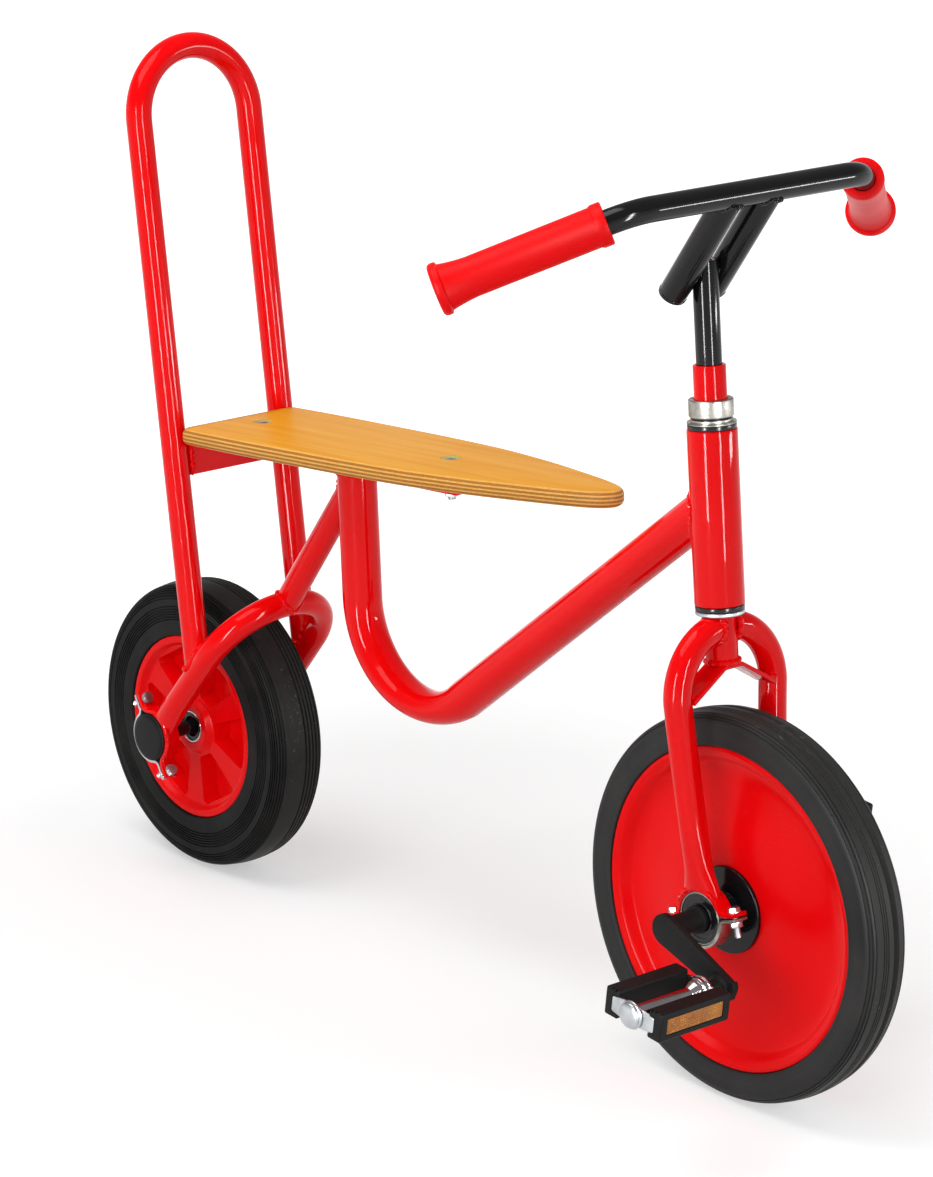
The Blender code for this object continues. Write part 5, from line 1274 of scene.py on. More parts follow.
def build_pedal(side, sign):
    """Barrel with lock rings, end plates with the cap, two tread blocks and two reflectors."""
    body = f"pedal_{side}"
    inner = PEDAL_GAP
    outer = inner + PEDAL_LENGTH
    place = joint_place(f"pedal_{side}_spin") @ Matrix.Rotation(-PEDAL_TILT, 4, "Y") @ OUTWARDS[sign]
    barrel = rounded([
        (PEDAL_BORE, outer - 0.001, 0), (BARREL_RADIUS, outer - 0.001, 0),
        (BARREL_RADIUS, inner + 0.0185, 0.0020), (BARREL_RADIUS + 0.0036, inner + 0.0120, 0.0020),
        (BARREL_RADIUS + 0.0046, inner + 0.0092, 0.0010),
        (BARREL_RADIUS + 0.0030, inner + 0.0083, 0.0004), (BARREL_RADIUS + 0.0054, inner + 0.0070, 0.0010),
        (BARREL_RADIUS + 0.0054, inner + 0.0030, 0.0006), (BARREL_FLANGE, inner + 0.0026, 0.0004),
        (BARREL_FLANGE, inner + 0.0004, 0.0006), (PEDAL_BORE, inner + 0.0004, 0)], 4)
    lathe(f"pedal_barrel_{side}", barrel, place, CHROME, body, f"pedal_cage_{side}",
          steps=64, smooth=PEDAL_SMOOTH)

    plate_in = pedal_plate(f"pedal_plate_inner_{side}", inner + PLATE_THICKNESS / 2)
    cut(plate_in, round_bar("drill", (0, 0, inner - 0.01), (0, 0, inner + 0.01), PEDAL_BORE, 40))
    dress(put(plate_in, place), CHROME, body)
    plate_out = pedal_plate(f"pedal_plate_outer_{side}", outer - PLATE_THICKNESS / 2)
    dress(put(plate_out, place), PEDAL_ZINC, body)

    top = outer + PEDAL_CAP_LENGTH
    small = PEDAL_CAP_RADIUS - 0.0014
    crown = 0.0030
    dome = [(small * math.cos(a), top - crown + crown * math.sin(a)) for a in angles(8, math.pi / 2)[:-1]]
    cap = [(0.0, outer + FIT), (PEDAL_CAP_RADIUS - 0.0006, outer + FIT), (PEDAL_CAP_RADIUS, outer + 0.0008),
           (PEDAL_CAP_RADIUS, outer + 0.0018), (PEDAL_CAP_RADIUS - 0.0004, outer + 0.0024),
           (small + 0.0002, outer + 0.0027), *dome, (0.0, top)]
    lathe(f"pedal_cap_{side}", cap, place, PEDAL_ZINC, body, steps=64, closed=False, smooth=PEDAL_SMOOTH)

    face = BLOCK_OFFSET + BLOCK_DEPTH / 2 - REFLECTOR_SINK
    for where, up in (("front", -sign), ("rear", sign)):
        block = put(pedal_block(f"tread_block_{side}_{where}", up), place)
        dress(block, PLASTIC, body, f"pedal_block_{side}_{where}")
        turn = Matrix(((0, 0, up), (0, 1, 0), (-up, 0, 0))).to_4x4()
        lens = put(reflector_lens(f"reflector_lens_{side}_{where}"),
                   place @ shift(up * face, 0, inner + PEDAL_LENGTH / 2) @ turn)
        dress(lens, AMBER, body, f"pedal_reflector_{side}_{where}", smooth=None)


# Steering column, stem and handlebar

def build_headset():
    """Head tube, the rings at both its ends, the lock nut and the steerer with its collar."""
    inner = STEERER_RADIUS + 2 * FIT
    tube = ring_section(HEAD_BORE, HEAD_RADIUS, HEAD_LOW, HEAD_HIGH, (0.0006, 0.0006, 0.0012, 0.0012), 4)
    lathe("head_tube_steel", tube, STEERING, RED, "frame", "head_tube")

    def ring(name, z, radius, bulge, finish, body, node, neck=0.0):
        high = z + RING_HEIGHT
        flange = z + RING_HEIGHT * 0.46 if neck else high
        step = []
        groove = []
        if neck:
            step = [(radius - neck, high, 0), (radius - neck, flange, 0)]
            groove = [(radius, z + 0.0015, 0), (radius - 0.0010, z + 0.0013, 0), (radius, z + 0.0009, 0)]
        section = rounded([(inner, z, 0), (inner, high, 0), *step, (radius, flange, bulge), *groove,
                           (radius, z, bulge)], 4)
        lathe(name, section, STEERING, finish, body, node)
    low_radius = HEAD_RADIUS - 0.0004
    high_radius = low_radius - 0.0002
    ring("lower_seal_ring", LOWER_RING, low_radius, 0.0006, SEAL, "frame", "lower_headset_bush")
    ring("upper_seal_ring", HEAD_HIGH + FIT, high_radius, 0.0006, SEAL, "frame", "upper_headset_bush")
    ring("lower_race", LOWER_RING - FIT - RING_HEIGHT, low_radius, 0.0014, ZINC, "fork", "crown_race")
    ring("upper_race_ring", UPPER_RACE, high_radius, 0.0003, STEEL, "fork", "upper_race", 0.0030)

    # A sunk black ring under the lock nut: its black is painted shade for the dark gap between the nut and
    # the upper race
    neck = ring_section(inner, NUT_RADIUS - 0.0024, NUT_LOW, NUT_LOW + 0.003, (0, 0, 0, 0.0003), 3)
    lathe("lock_nut_shade_ring", neck, STEERING, SEAL, "fork", steps=80)
    foot = NUT_LOW + 0.0016
    nut = rounded([(inner, foot, 0), (inner, NUT_TOP - 0.0012, 0), (STEERER_RADIUS + 0.0016, NUT_TOP, 0.0003),
                   (NUT_RADIUS, NUT_TOP, 0.0012), (NUT_RADIUS, foot, 0.0012)], 4)
    lathe("lock_nut_steel", nut, STEERING, STEEL, "fork", "lock_nut")
    collar = ring_section(STEERER_BORE, STEERER_RADIUS, STEERER_LOW, COLLAR_TOP,
                          (0, 0.0004, 0.0008, 0.0004), 3)
    lathe("steerer_tube", collar, STEERING, RED, "fork", "steerer")


def build_stem():
    """Post, two slanting arms welded to it and to the bar, and the bolt in the post."""
    post = round_bar("stem_post", (0, 0, COLLAR_TOP - 0.030), (0, 0, POST_TOP), POST_RADIUS, 72)
    bevelled(post, 0.0007)
    cut(post, round_bar("drill", (0, 0, COLLAR_TOP - 0.05), (0, 0, POST_TOP + 0.01), POST_BORE, 40))
    put(post, STEERING)
    bar_bed = round_bar("bar_bed", BAR_CENTRE - LEFT * 0.06, BAR_CENTRE + LEFT * 0.06,
                        BAR_RADIUS - 0.0002, 72)
    arms = []
    for _, sign in SIDES:
        foot = ARM_LOW + LEFT * sign * ARM_Y
        arm = round_bar("arm", foot, foot + ARM_SLANT * (BAR_CENTRE - ARM_LOW).length, ARM_RADIUS, 72)
        cut(bevelled(arm, 0.0008), bar_bed, keep=True)
        rim = [foot + ARM_SLANT * 0.0030
               + (LEFT * math.cos(a) + ARM_SLANT.cross(LEFT) * math.sin(a)) * (ARM_RADIUS - 0.0002)
               for a in angles(72)]
        arms += [arm, bead("cap_weld", rim, ARM_CAP_WELD, sign)]
    bpy.data.objects.remove(bar_bed)
    stem = put(joined("stem_arms", arms), STEERING)
    dress(post, BLACK, "fork", "stem")
    dress(stem, BLACK, "fork")

    crossing = -ARM_LOW.x / ARM_SLANT.x
    for side, sign in SIDES:
        for where, turn in (("front", 1), ("rear", -1)):
            spots = [ARM_LOW + LEFT * sign * 0.0108 + ARM_SLANT * (crossing + (share - 0.95) * 0.022)
                     for share in shares(24)]
            aside = Vector((turn * 0.0062, 0, -turn * 0.001))
            points = [STEERING @ (spot + aside) for spot in spots]
            weld(f"weld_post_{where}_{side}", points, POST_WELD, sign * 2.0 + turn, BLACK, "fork",
                 closed=False)

    head = hexagon("stem_bolt_head", STEM_BOLT_FLATS, POST_TOP + FIT, POST_TOP + 0.0058, washer=False)
    shank = round_bar("bolt", (0, 0, COLLAR_TOP), (0, 0, POST_TOP + 0.001), 0.004, 32)
    dress(put(joined("stem_bolt_steel", [head, shank]), STEERING), BROWN_STEEL, "fork", "stem_bolt")


def build_handlebar():
    """Bent bar, its welds to the arms, and the flared grips."""
    bend = BAR_CENTRE + LEFT * BAR_BEND_Y
    along = (BAR_END - bend).normalized()
    stop = BAR_END - along * BAR_END_GAP
    mirror = Matrix.Diagonal((1, -1, 1))
    path = filleted([mirror @ stop, mirror @ bend, bend, stop], BAR_BEND_RADIUS, 20)
    path = [STEERING @ point for point in path]
    turned_axes = STEERING.to_3x3()
    radii = [(BAR_RADIUS, BAR_RADIUS)] * len(path)
    bar = swept("handlebar_tube", path, radii, turned_axes @ Vector((0, 0, 1)), 64)
    dress(bar, BLACK, "fork", "handlebar")
    for side, sign in SIDES:
        origin = STEERING @ (BAR_CENTRE + LEFT * sign * ARM_Y - ARM_SLANT * 0.04)
        points = seam(bar, origin, turned_axes @ ARM_SLANT, ARM_RADIUS, 110)
        weld(f"weld_bar_{side}", points, BAR_WELD, sign * 5.0, BLACK, "fork")

    bore = BAR_RADIUS + FIT
    flare_start = GRIP_LENGTH - GRIP_FLARE_LENGTH
    flare = [(GRIP_RADIUS + (GRIP_FLARE - 0.0026 - GRIP_RADIUS) * (0.35 * t + 0.65 * t * t),
              flare_start + (GRIP_FLARE_LENGTH - 0.0085) * t) for t in shares(12)]
    collar = [(-0.0012, 0.0), (-0.0003, 0.0005), (0.0, 0.0014), (0.0, GRIP_COLLAR - 0.0014),
              (-0.0006, GRIP_COLLAR - 0.0002)]
    rim = [(-0.0002, -0.0074), (0.0, -0.0055), (0.0, -0.0032), (-0.0006, -0.0012), (-0.0022, 0.0),
           (-0.0060, 0.0), (-0.0068, -0.0006)]
    inside = GRIP_LENGTH - 0.0058
    section = [(bore, 0.0), *((GRIP_COLLAR_RADIUS + r, z) for r, z in collar),
               (GRIP_RADIUS + 0.0002, GRIP_COLLAR + 0.0012), *flare,
               *((GRIP_FLARE + r, GRIP_LENGTH + z) for r, z in rim), (0.0, GRIP_LENGTH - 0.0010),
               (0.0, inside), (bore, inside), (bore, 0.0)]
    for side, sign in SIDES:
        direction = Vector((along.x, along.y * sign, along.z))
        tip = Vector((BAR_END.x, BAR_END.y * sign, BAR_END.z))
        turn = direction.to_track_quat("Z", "Y").to_matrix().to_4x4()
        lathe(f"grip_rubber_{side}", section, STEERING @ shift(*(tip - direction * GRIP_LENGTH)) @ turn,
              GRIP_RED, "fork", f"grip_{side}", closed=False, smooth=SOFT_SMOOTH)


# Fork

def flattened(share, flare=0.0):
    """Radii of a tube that is pressed flat by a share, and widened."""
    flat = share * share * (3 - 2 * share)
    return (TUBE_RADIUS + (FLAT_HALF_WIDTH - TUBE_RADIUS) * flat + flare,
            TUBE_RADIUS + (FLAT_HALF_THICKNESS - TUBE_RADIUS) * flat)


def fork_leg_line(sign):
    """Centres and radii of a fork leg, from the axle up and over to the steering axis."""
    centres = []
    radii = []
    for share in shares(26):
        x = ARCH_SETBACK + (FORK_OFFSET - ARCH_SETBACK) * (1 - share) ** 2
        y = FRONT_CLAMP_Y + (ARCH_RADIUS - FRONT_CLAMP_Y) * share ** LEG_SPREAD_POWER
        centres.append(Vector((x, sign * y, ARCH_HEIGHT * share)))
        flare = LEG_FLARE
        if share > LEG_FLARE_FALL:
            flare *= max(0.0, (LEG_FLARE_END - share) / LEG_FLARE_FALL) ** 2
        radii.append(flattened(max(0.0, 1 - share / LEG_FLAT_SHARE), flare))
    for a in angles(28, math.acos(CROWN_HALF_GAP / ARCH_RADIUS))[1:]:
        height = ARCH_HEIGHT + ARCH_RADIUS * math.sin(a)
        centres.append(Vector((ARCH_SETBACK, sign * ARCH_RADIUS * math.cos(a), height)))
        radii.append((TUBE_RADIUS, TUBE_RADIUS))
    return centres, radii


def clamp_bore(tube, clamp):
    """Cut a tube's end to sit in the wall of the half shell round its bearing."""
    cut(tube, put(round_bar("bore", (0, -0.03, 0), (0, 0.03, 0), SHELL_RADIUS - 0.0008, 96), clamp))


def half_shell(name, place, body):
    """The half shell that is welded to a tube's end, with its two ears."""
    dress(put(clamp_strip(name, SHELL_THICKNESS, SHELL_BEND, 1), place), RED, body)


def shell_rim(clamp, sign):
    """Points on a half shell where its tube meets it."""
    return [clamp @ Vector((SHELL_RADIUS * math.cos(a), sign * SHELL_WELD_Y, SHELL_RADIUS * math.sin(a)))
            for a in (math.pi / 2 + (share - 0.5) * SHELL_WELD_SPAN for share in shares(60))]


def build_fork():
    """Two legs over the wheel, the welds at the crown, the brace and its welds."""
    hub = shift(FORK_OFFSET, 0, 0)
    tilt = FRONT_CLAMP_TILT + math.asin(-JOINTS["steering"]["axis"][0])
    crown = HEAD_LOW - 2 * RING_HEIGHT - 3 * FIT
    cuts = (("saddle", 0, 0.15, STEERER_RADIUS + FIT),
            ("relief", SADDLE_RELIEF, 0.15, STEERER_RADIUS - 0.0007),
            ("ceiling", 0, crown, HEAD_RADIUS + FIT))
    for side, sign in SIDES:
        leg = swept(f"fork_tube_{side}", *fork_leg_line(sign), FORWARD)
        clamp = clamp_place(hub, tilt, sign * FRONT_CLAMP_Y)
        clamp_bore(leg, clamp)
        for name, x, low, radius in cuts:
            cut(leg, round_bar(name, (x, 0, low), (x, 0, 0.30), radius, 72))
        dress(put(leg, STEERING), RED, "fork", f"fork_leg_{side}")
        half_shell(f"fork_shell_{side}", STEERING @ clamp, "fork")
        points = []
        for a in angles(96):
            x = ARCH_SETBACK + TUBE_RADIUS * math.cos(a)
            y = max(math.sqrt(max(STEERER_RADIUS ** 2 - x ** 2, 0.0)), CROWN_WELD_Y)
            z = ARCH_HEIGHT + math.sqrt(ARCH_RADIUS ** 2 - y ** 2) + TUBE_RADIUS * math.sin(a)
            points.append(STEERING @ Vector((x, sign * y, min(z, crown - 0.0022))))
        weld(f"weld_crown_{side}", points, CROWN_WELD, sign * 7.0, RED, "fork")
        rim = [STEERING @ point for point in shell_rim(clamp, sign)]
        weld(f"weld_shell_front_{side}", rim, FRONT_SHELL_WELD, sign * 9.0, RED, "fork", closed=False)

    foot = ARCH_RADIUS - TUBE_RADIUS
    end = foot + 0.004
    low = BRACE_FOOT - 0.002
    top = STEERER_LOW - FIT
    drop = BRACE_THICKNESS / math.cos(math.atan2(top - BRACE_FOOT, foot - BRACE_FLAT))
    inside = top - BRACE_THICKNESS
    outline = rounded([(end, low, 0), (BRACE_FLAT, top, 0.006), (-BRACE_FLAT, top, 0.006), (-end, low, 0),
                       (-end, low - drop, 0), (-BRACE_FLAT, inside, 0.003), (BRACE_FLAT, inside, 0.003),
                       (end, low - drop, 0)])
    brace = bevelled(plate("fork_brace_strip", outline, BRACE_WIDTH), 0.0007, 3, 50.0)
    put(brace, shift(ARCH_SETBACK, 0, 0) @ Matrix.Rotation(math.pi / 2, 4, "Z") @ ACROSS)
    for _, sign in SIDES:
        cut(brace, swept("leg_guard", *fork_leg_line(sign), FORWARD))
    dress(put(brace, STEERING), RED, "fork", "fork_brace")
    for side, sign in SIDES:
        points = []
        for share in shares(24):
            x = ARCH_SETBACK + (share - 0.5) * BRACE_WIDTH * 0.96
            lean = TUBE_RADIUS - math.sqrt(TUBE_RADIUS ** 2 - (x - ARCH_SETBACK) ** 2 * 0.95)
            points.append(STEERING @ Vector((x, sign * (foot + lean * 0.9), BRACE_FOOT + 0.0004)))
        weld(f"weld_brace_{side}", points, BRACE_WELD, sign * 4.0, RED, "fork", closed=False)
    level = STEERER_LOW + 0.0006
    ring = [STEERING @ Vector((STEERER_RADIUS * math.cos(a), STEERER_RADIUS * math.sin(a) * 0.98, level))
            for a in angles(96)]
    weld("weld_steerer_foot", ring, STEERER_WELD, 11.0, RED, "fork")


# Frame

def stay_line():
    """Centre line of the right half of the rear stay, with its foot, its knee and the top of its bend."""
    hub = REAR_HUB.translation
    apex = Vector((hub.x + STAY_APEX[0], 0, STAY_APEX[1]))
    uphill = Vector((math.cos(STAY_TILT), 0, math.sin(STAY_TILT)))
    tangent = apex - uphill * STAY_HALF_SPACING
    foot = Vector((hub.x, -REAR_CLAMP_Y, hub.z))
    knee = tangent + Vector((0, -STAY_HALF_SPACING, 0))
    leg = [foot.lerp(knee, i / STAY_LEG_STEPS) for i in range(STAY_LEG_STEPS)]
    bend = [tangent + uphill * STAY_HALF_SPACING * math.sin(a) - LEFT * STAY_HALF_SPACING * math.cos(a)
            for a in angles(30, math.pi / 2)]
    return leg + bend, foot, knee, apex


def build_frame():
    """Main tube, stays and backrest with their welds."""
    joint = STEERING @ Vector((0, 0, DOWN_TUBE_JOINT))
    ahead = Vector((math.cos(DOWN_TUBE_ANGLE), 0, math.sin(DOWN_TUBE_ANGLE)))
    top = SEAT @ Vector((SEAT_TUBE_PLACE, 0, UNDER_RAIL))
    down = SEAT.to_3x3() @ Vector((0, 0, -1))
    run = ((joint.x - top.x) * ahead.z - (joint.z - top.z) * ahead.x) / (down.x * ahead.z - down.z * ahead.x)
    path = filleted([top, top + down * run, joint], MAIN_BEND_RADIUS, 44)
    radii = []
    for i in range(len(path)):
        bend = math.sin(math.pi * min(max((i - 1) / (len(path) - 3), 0), 1)) ** 0.7
        squash = 1 - (1 - MAIN_BEND_SQUASH) * bend
        radii.append((MAIN_RADIUS * (1 + 0.5 * (1 - squash)), MAIN_RADIUS * squash))
    main = swept("main_frame_tube", path, radii, LEFT, 72)
    head_axis = [STEERING @ Vector((0, 0, z)) for z in (0.2, 0.5)]
    cut(main, round_bar("cope", *head_axis, HEAD_RADIUS - 0.0003, 96))
    dress(main, RED, "frame", "main_tube")
    head = bpy.data.objects["head_tube_steel"]
    points = seam(head, joint - ahead * 0.08, ahead, MAIN_RADIUS, 150)
    weld("weld_head", points, FRAME_WELD, 1.0, RED, "frame")

    half, foot, knee, apex = stay_line()
    line = half + [Vector((p.x, -p.y, p.z)) for p in half[-2::-1]]
    half_radii = [flattened(max(0.0, 1 - i / STAY_LEG_STEPS / STAY_FLAT_SHARE)) for i in range(len(half))]
    stay_radii = half_radii + half_radii[-2::-1]
    normal = Vector((-math.sin(STAY_TILT), 0, math.cos(STAY_TILT)))
    stay = swept("rear_stay_tube", line, stay_radii, normal)
    for side, sign in SIDES:
        clamp = clamp_place(REAR_HUB, REAR_CLAMP_TILT, sign * REAR_CLAMP_Y)
        clamp_bore(stay, clamp)
        half_shell(f"stay_shell_{side}", clamp, "frame")
        weld(f"weld_shell_rear_{side}", shell_rim(clamp, sign), REAR_SHELL_WELD, sign * 6.0, RED, "frame",
             closed=False)
    dress(stay, RED, "frame", "rear_stay")

    upper = Vector(((top + down * (top.z - SEAT_STAY_TOP)).x, 0, SEAT_STAY_TOP))
    seat_stay = round_bar("seat_stay_tube", apex, upper, TUBE_RADIUS, 64)
    cut(seat_stay, round_bar("cope", top - down * 0.05, top + down * 0.12, MAIN_RADIUS - 0.0003, 72))
    cut(seat_stay, swept("stay_guard", line, stay_radii, normal))
    cut(seat_stay, box("rail_guard", (0.3, 0.1, 0.1), SEAT @ shift(SEAT_TUBE_PLACE, 0, UNDER_RAIL + 0.05)))
    dress(seat_stay, RED, "frame", "seat_stay")
    uphill = (upper - apex).normalized()
    middle = (apex + upper) / 2
    weld("weld_stay_low", seam(stay, middle, -uphill, TUBE_RADIUS), FRAME_WELD, 2.0, RED, "frame")
    points = seam(main, middle, uphill, TUBE_RADIUS, 130, (0.04, 0.46))
    weld("weld_stay_high", points, FRAME_WELD, 3.0, RED, "frame", closed=False)

    lean = math.tan(BACKREST_LEAN)
    back_x = REAR_HUB.translation.x - BACKREST_BEND_SETBACK
    rise = Vector((-math.sin(BACKREST_LEAN), 0, math.cos(BACKREST_LEAN)))
    slope = (knee.z - foot.z) / (knee.x - foot.x)
    meet = (foot.z + slope * (back_x + BACKREST_BEND_HEIGHT * lean - foot.x)) / (1 + slope * lean)
    low = Vector((back_x + (BACKREST_BEND_HEIGHT - meet) * lean, 0, meet))
    bend_centre = Vector((back_x, 0, BACKREST_BEND_HEIGHT))
    half = BACKREST_HALF_SPACING
    bend = [bend_centre + rise * half * math.sin(a) - LEFT * half * math.cos(a) for a in angles(44, math.pi)]
    points = [low - LEFT * half, *bend, low + LEFT * half]
    loop = swept("backrest_tube", points, [(TUBE_RADIUS, TUBE_RADIUS)] * len(points), rise.cross(LEFT), 64)
    cut(loop, swept("stay_guard", line, stay_radii, normal))
    dress(loop, RED, "frame", "backrest_loop")
    for side, sign in SIDES:
        points = seam(stay, low + LEFT * sign * half + rise * 0.10, -rise, TUBE_RADIUS, 120)
        weld(f"weld_backrest_{side}", points, FRAME_WELD, sign * 8.0, RED, "frame")


# Seat

def seat_line():
    """The seat board's outline as a smooth line through its points."""
    half = [Vector(point) for point in SEAT_OUTLINE]
    smooth = []
    for i, (a, b) in enumerate(zip(half, half[1:])):
        before = half[i - 1] if i else Vector((half[1].x, -half[1].y))
        after = half[i + 2] if i + 2 < len(half) else Vector((half[-2].x, -half[-2].y))
        for t in shares(5)[:-1]:
            smooth.append(0.5 * (2 * a + (b - before) * t + (2 * before - 5 * a + 4 * b - after) * t ** 2
                                 + (3 * a - before - 3 * b + after) * t ** 3))
    smooth.append(half[-1])
    outline = [(p.x, p.y) for p in smooth]
    return outline + [(x, -y) for x, y in outline[-2:0:-1]]


def build_board():
    """Plywood board with strongly rounded edges, drilled and sunk for its bolts."""
    board = plate("seat_plywood", seat_line(), SEAT_THICKNESS)
    edit(board)
    bpy.ops.mesh.select_mode(type="FACE")
    bpy.ops.object.mode_set(mode="OBJECT")
    for face in board.data.polygons:
        face.select = abs(face.normal.z) > 0.9
    for edge in board.data.edges:
        edge.select = False
    bpy.ops.object.mode_set(mode="EDIT")
    bpy.ops.mesh.region_to_loop()
    bpy.ops.mesh.bevel(offset=SEAT_EDGE_ROUND, segments=7, profile=0.5, affect="EDGES", clamp_overlap=False)
    select_only(board)
    put(board, SEAT @ shift(0, 0, -SEAT_THICKNESS / 2))
    mouth = CUP_RADIUS + 0.0012
    recess = [(0.0, -CUP_DEPTH - 0.0012), (CUP_RADIUS - 0.0012, -CUP_DEPTH), (CUP_RADIUS + FIT, -0.0006),
              (mouth, 0.0002), (mouth, 0.01), (0.0, 0.01)]
    for x in (0.0, SEAT_BOLT_SPACING):
        cut(board, put(round_bar("hole", (x, 0, -0.03), (x, 0, 0.01), SEAT_BOLT_RADIUS + FIT, 32), SEAT))
        cut(board, put(turned("recess", recess, 64, closed=False), SEAT @ shift(x, 0, 0)))
    dress(board, WOOD, "frame", "seat_board", smooth=SOFT_SMOOTH)


def build_seat():
    """The board, its carriers and its two sunk bolts."""
    build_board()
    rail_front = SEAT_BOLT_SPACING + RAIL_NOSE
    rail = bevelled(box("seat_rail_bar", (rail_front - RAIL_REAR, RAIL_WIDTH, RAIL_HEIGHT)), 0.0022, 4)
    put(rail, SEAT @ shift((rail_front + RAIL_REAR) / 2, 0, UNDER_SEAT - RAIL_HEIGHT / 2))
    dress(rail, RED, "frame", "seat_rail")
    reach = BACKREST_HALF_SPACING - TUBE_RADIUS + 0.0012
    thick = CROSSBAR_THICKNESS
    low = UNDER_SEAT - CROSSBAR_DROP
    inside = CROSSBAR_REAR + thick
    angle = rounded([(CROSSBAR_REAR, UNDER_SEAT, 0.0032), (CROSSBAR_REAR, low, 0.0008), (inside, low, 0.0008),
                     (inside, UNDER_SEAT - thick, 0.0015), (CROSSBAR_FRONT, UNDER_SEAT - thick, 0.0008),
                     (CROSSBAR_FRONT, UNDER_SEAT, 0.0008)])
    crossbar = put(plate("seat_crossbar_angle", angle, 2 * reach), SEAT @ ACROSS)
    dress(crossbar, RED, "frame", "seat_crossbar")
    for side, sign in SIDES:
        for where, offset in (("outer", -0.001), ("inner", thick + 0.001)):
            heights = [UNDER_SEAT - 0.003 - (CROSSBAR_DROP - 0.002) * share for share in shares(40)]
            points = [SEAT @ Vector((CROSSBAR_REAR + offset, sign * (reach - 0.0020), z)) for z in heights]
            weld(f"weld_crossbar_{where}_{side}", points, CROSSBAR_WELD, sign * 13.0 + offset * 900,
                 RED, "frame", closed=False)
    ring = [SEAT @ Vector((SEAT_TUBE_PLACE + MAIN_RADIUS * math.cos(a), MAIN_RADIUS * math.sin(a),
                           UNDER_SEAT - RAIL_HEIGHT - 0.0006)) for a in angles(96)]
    weld("weld_seat_rail", ring, RAIL_WELD, 17.0, RED, "frame")

    wall = [(0.0042, -0.0026), (0.0012, -0.0012), (0.0002, -0.0006), (0.0, -0.0002), (0.0005, 0.0),
            (0.0016, -0.0003), (0.0044, -0.0018)]
    cup = [(0.0, -0.0026), *((CUP_RADIUS - inset, z) for inset, z in wall), (0.0, -0.0018)]
    dome = [(0.0, -0.0022), (0.0042, -0.0020), (0.0052, -0.0012), (0.0046, -0.0008), (0.0, -0.0004)]
    for where, x, stack in (("rear", 0.0, thick), ("front", SEAT_BOLT_SPACING, RAIL_HEIGHT)):
        place = SEAT @ shift(x, 0, 0)
        low = UNDER_SEAT - stack
        lathe(f"seat_cup_{where}", cup, place, YELLOW_ZINC, "frame", steps=64, closed=False)
        head = turned("head", dome, 48, closed=False)
        for turn in (0.0, math.pi / 2):
            cut(head, box("slot", (0.0052, 0.0009, 0.003), Matrix.Rotation(turn, 4, "Z")))
        shank = threaded_shank("shank", SEAT_BOLT_RADIUS, low - SEAT_BOLT_TAIL, -CUP_DEPTH, 0.00125, 0.014)
        nut = hexagon("nut", STEM_BOLT_FLATS, low - FIT - 0.0045, low - FIT, top_up=False, washer=False)
        bolt = put(joined(f"seat_screw_{where}", [head, shank, nut]), place)
        dress(bolt, ZINC, "frame", f"seat_bolt_{where}")


# Studio

def build_floor():
    """A pale floor that keeps the object's shadow and looks white further out."""
    select_only(None)
    bpy.ops.mesh.primitive_plane_add(size=14, location=(0.0, 0.0, -0.0002))
    floor = named("studio_floor")
    material, graph, _ = new_material("studio_floor", Base_Color=(0.58, 0.58, 0.58, 1.0), Roughness=0.75,
                                      Specular_IOR_Level=0.2)
    path = graph.add("LightPath")
    centred = graph.mapped(graph.coordinates(), Location=FLOOR_SHIFT)
    reach = graph.add("VectorMath", {0: centred}, operation="LENGTH")["Value"]
    seen = graph.maths("MAXIMUM", path["Is Camera Ray"], path["Is Transmission Ray"])
    shown = graph.maths("MAXIMUM", seen, path["Is Glossy Ray"])
    strength = graph.times(shown, graph.ramp(reach, 0.42, 1.5, 0.44, 0.92))
    glow = graph.add("Emission", {"Color": (1.0, 1.0, 1.0, 1.0), "Strength": strength})[0]
    nodes = material.node_tree.nodes
    both = graph.add("AddShader", {0: nodes["Principled BSDF"].outputs[0], 1: glow})[0]
    graph.link(both, nodes["Material Output"].inputs["Surface"])
    floor.data.materials.append(material)


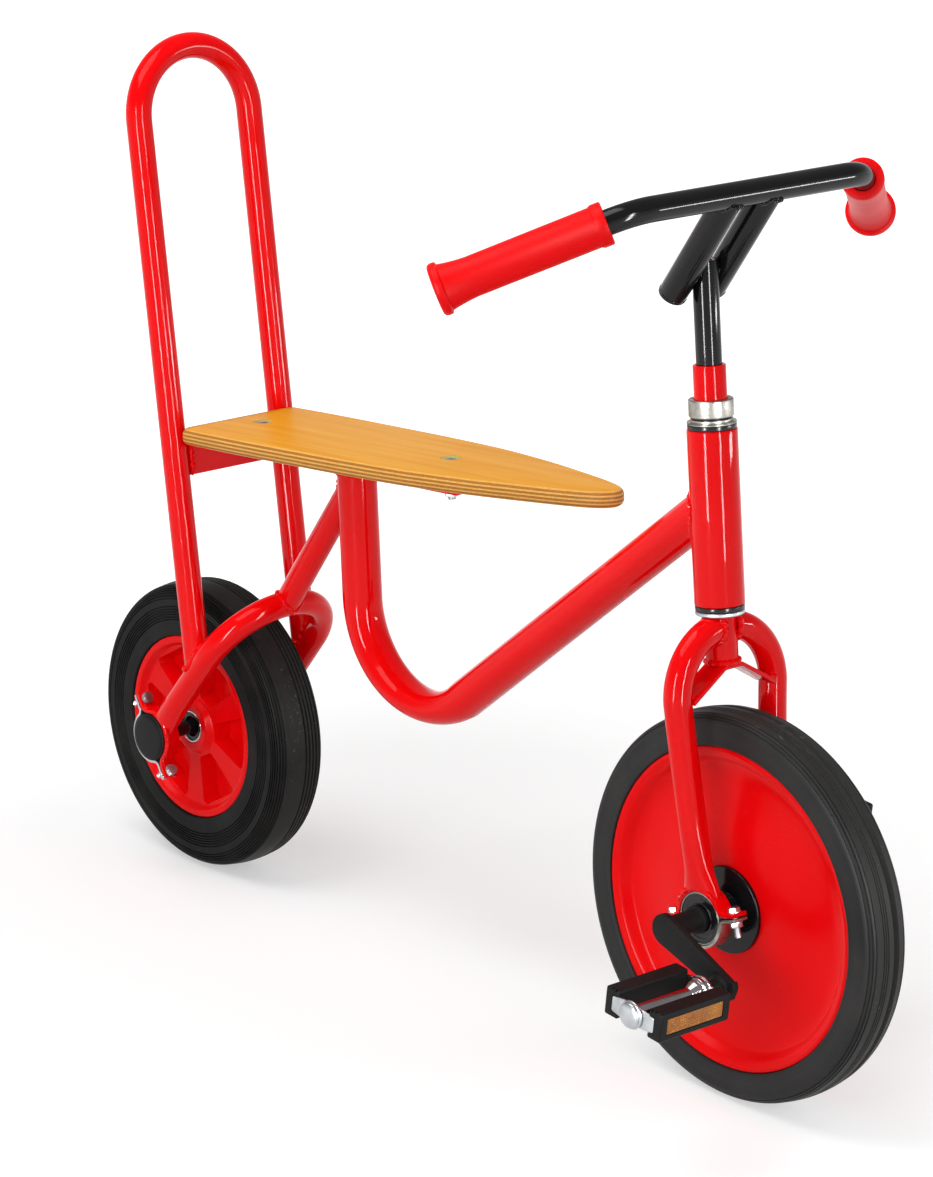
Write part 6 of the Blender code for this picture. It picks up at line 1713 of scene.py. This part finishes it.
def build_world():
    """White surroundings that light the object plainly; reflections see them darken with height."""
    world = bpy.data.worlds.new("studio")
    bpy.context.scene.world = world
    world.use_nodes = True
    graph = Graph(world.node_tree)
    path = graph.add("LightPath")
    height = graph.add("SeparateXYZ", {0: graph.add("TexCoord")["Generated"]})["Z"]
    seen = graph.maths("MAXIMUM", path["Is Camera Ray"], path["Is Transmission Ray"])
    plain = graph.times(graph.maths("SUBTRACT", 1.0, path["Is Glossy Ray"]), 0.50)
    glossy = graph.times(path["Is Glossy Ray"], graph.ramp(height, 0.06, 0.30, 1.0, 0.35))
    background = world.node_tree.nodes["Background"].inputs
    background["Color"].default_value = (1.0, 1.0, 1.0, 1.0)
    graph.link(graph.maths("MAXIMUM", seen, graph.maths("ADD", plain, glossy)), background["Strength"])


def build_lamps():
    """Soft lamps, and strips that only reflections see."""
    for name, place, target, size, energy, lights, shines in LAMPS:
        data = bpy.data.lights.new(name, "AREA")
        data.shape = "RECTANGLE"
        data.size, data.size_y = size
        data.energy = energy
        light = bpy.data.objects.new(name, data)
        light.location = place
        light.rotation_euler = (Vector(target) - Vector(place)).to_track_quat("-Z", "Y").to_euler()
        light.visible_diffuse = lights
        light.visible_glossy = shines
        bpy.context.scene.collection.objects.link(light)


def build_camera():
    """The photograph's camera: place, turn and lens found from the wheels and the tubes."""
    yaw, pitch, roll = CAMERA_TURN
    back = Vector((math.sin(yaw) * math.cos(pitch), -math.cos(yaw) * math.cos(pitch), math.sin(pitch)))
    level = Vector((math.cos(yaw), math.sin(yaw), 0))
    rise = back.cross(level)
    right = math.cos(roll) * level + math.sin(roll) * rise
    up = -math.sin(roll) * level + math.cos(roll) * rise
    data = bpy.data.cameras.new("photo_view")
    data.sensor_fit = "VERTICAL"
    data.sensor_height = SENSOR_HEIGHT
    data.lens = CAMERA_LENS
    data.clip_end = 60.0
    camera = bpy.data.objects.new("photo_view", data)
    camera.matrix_world = shift(*CAMERA_PLACE) @ Matrix((right, up, back)).transposed().to_4x4()
    bpy.context.scene.collection.objects.link(camera)
    bpy.context.scene.camera = camera


select_only(None)
build_front_wheel()
build_rear_wheel()
build_clamps("front", FRONT_HUB, FRONT_CLAMP_TILT, FRONT_CLAMP_Y, "fork", STEEL)
build_clamps("rear", REAR_HUB, REAR_CLAMP_TILT, REAR_CLAMP_Y, "frame", ZINC)
build_front_bearings()
build_rear_axle()
build_crankshaft()
for pedal_side, pedal_sign in SIDES:
    build_pedal(pedal_side, pedal_sign)
build_headset()
build_stem()
build_handlebar()
build_fork()
build_frame()
build_seat()
build_floor()
build_world()
build_lamps()
build_camera()
bpy.context.scene.view_settings.view_transform = "Standard"
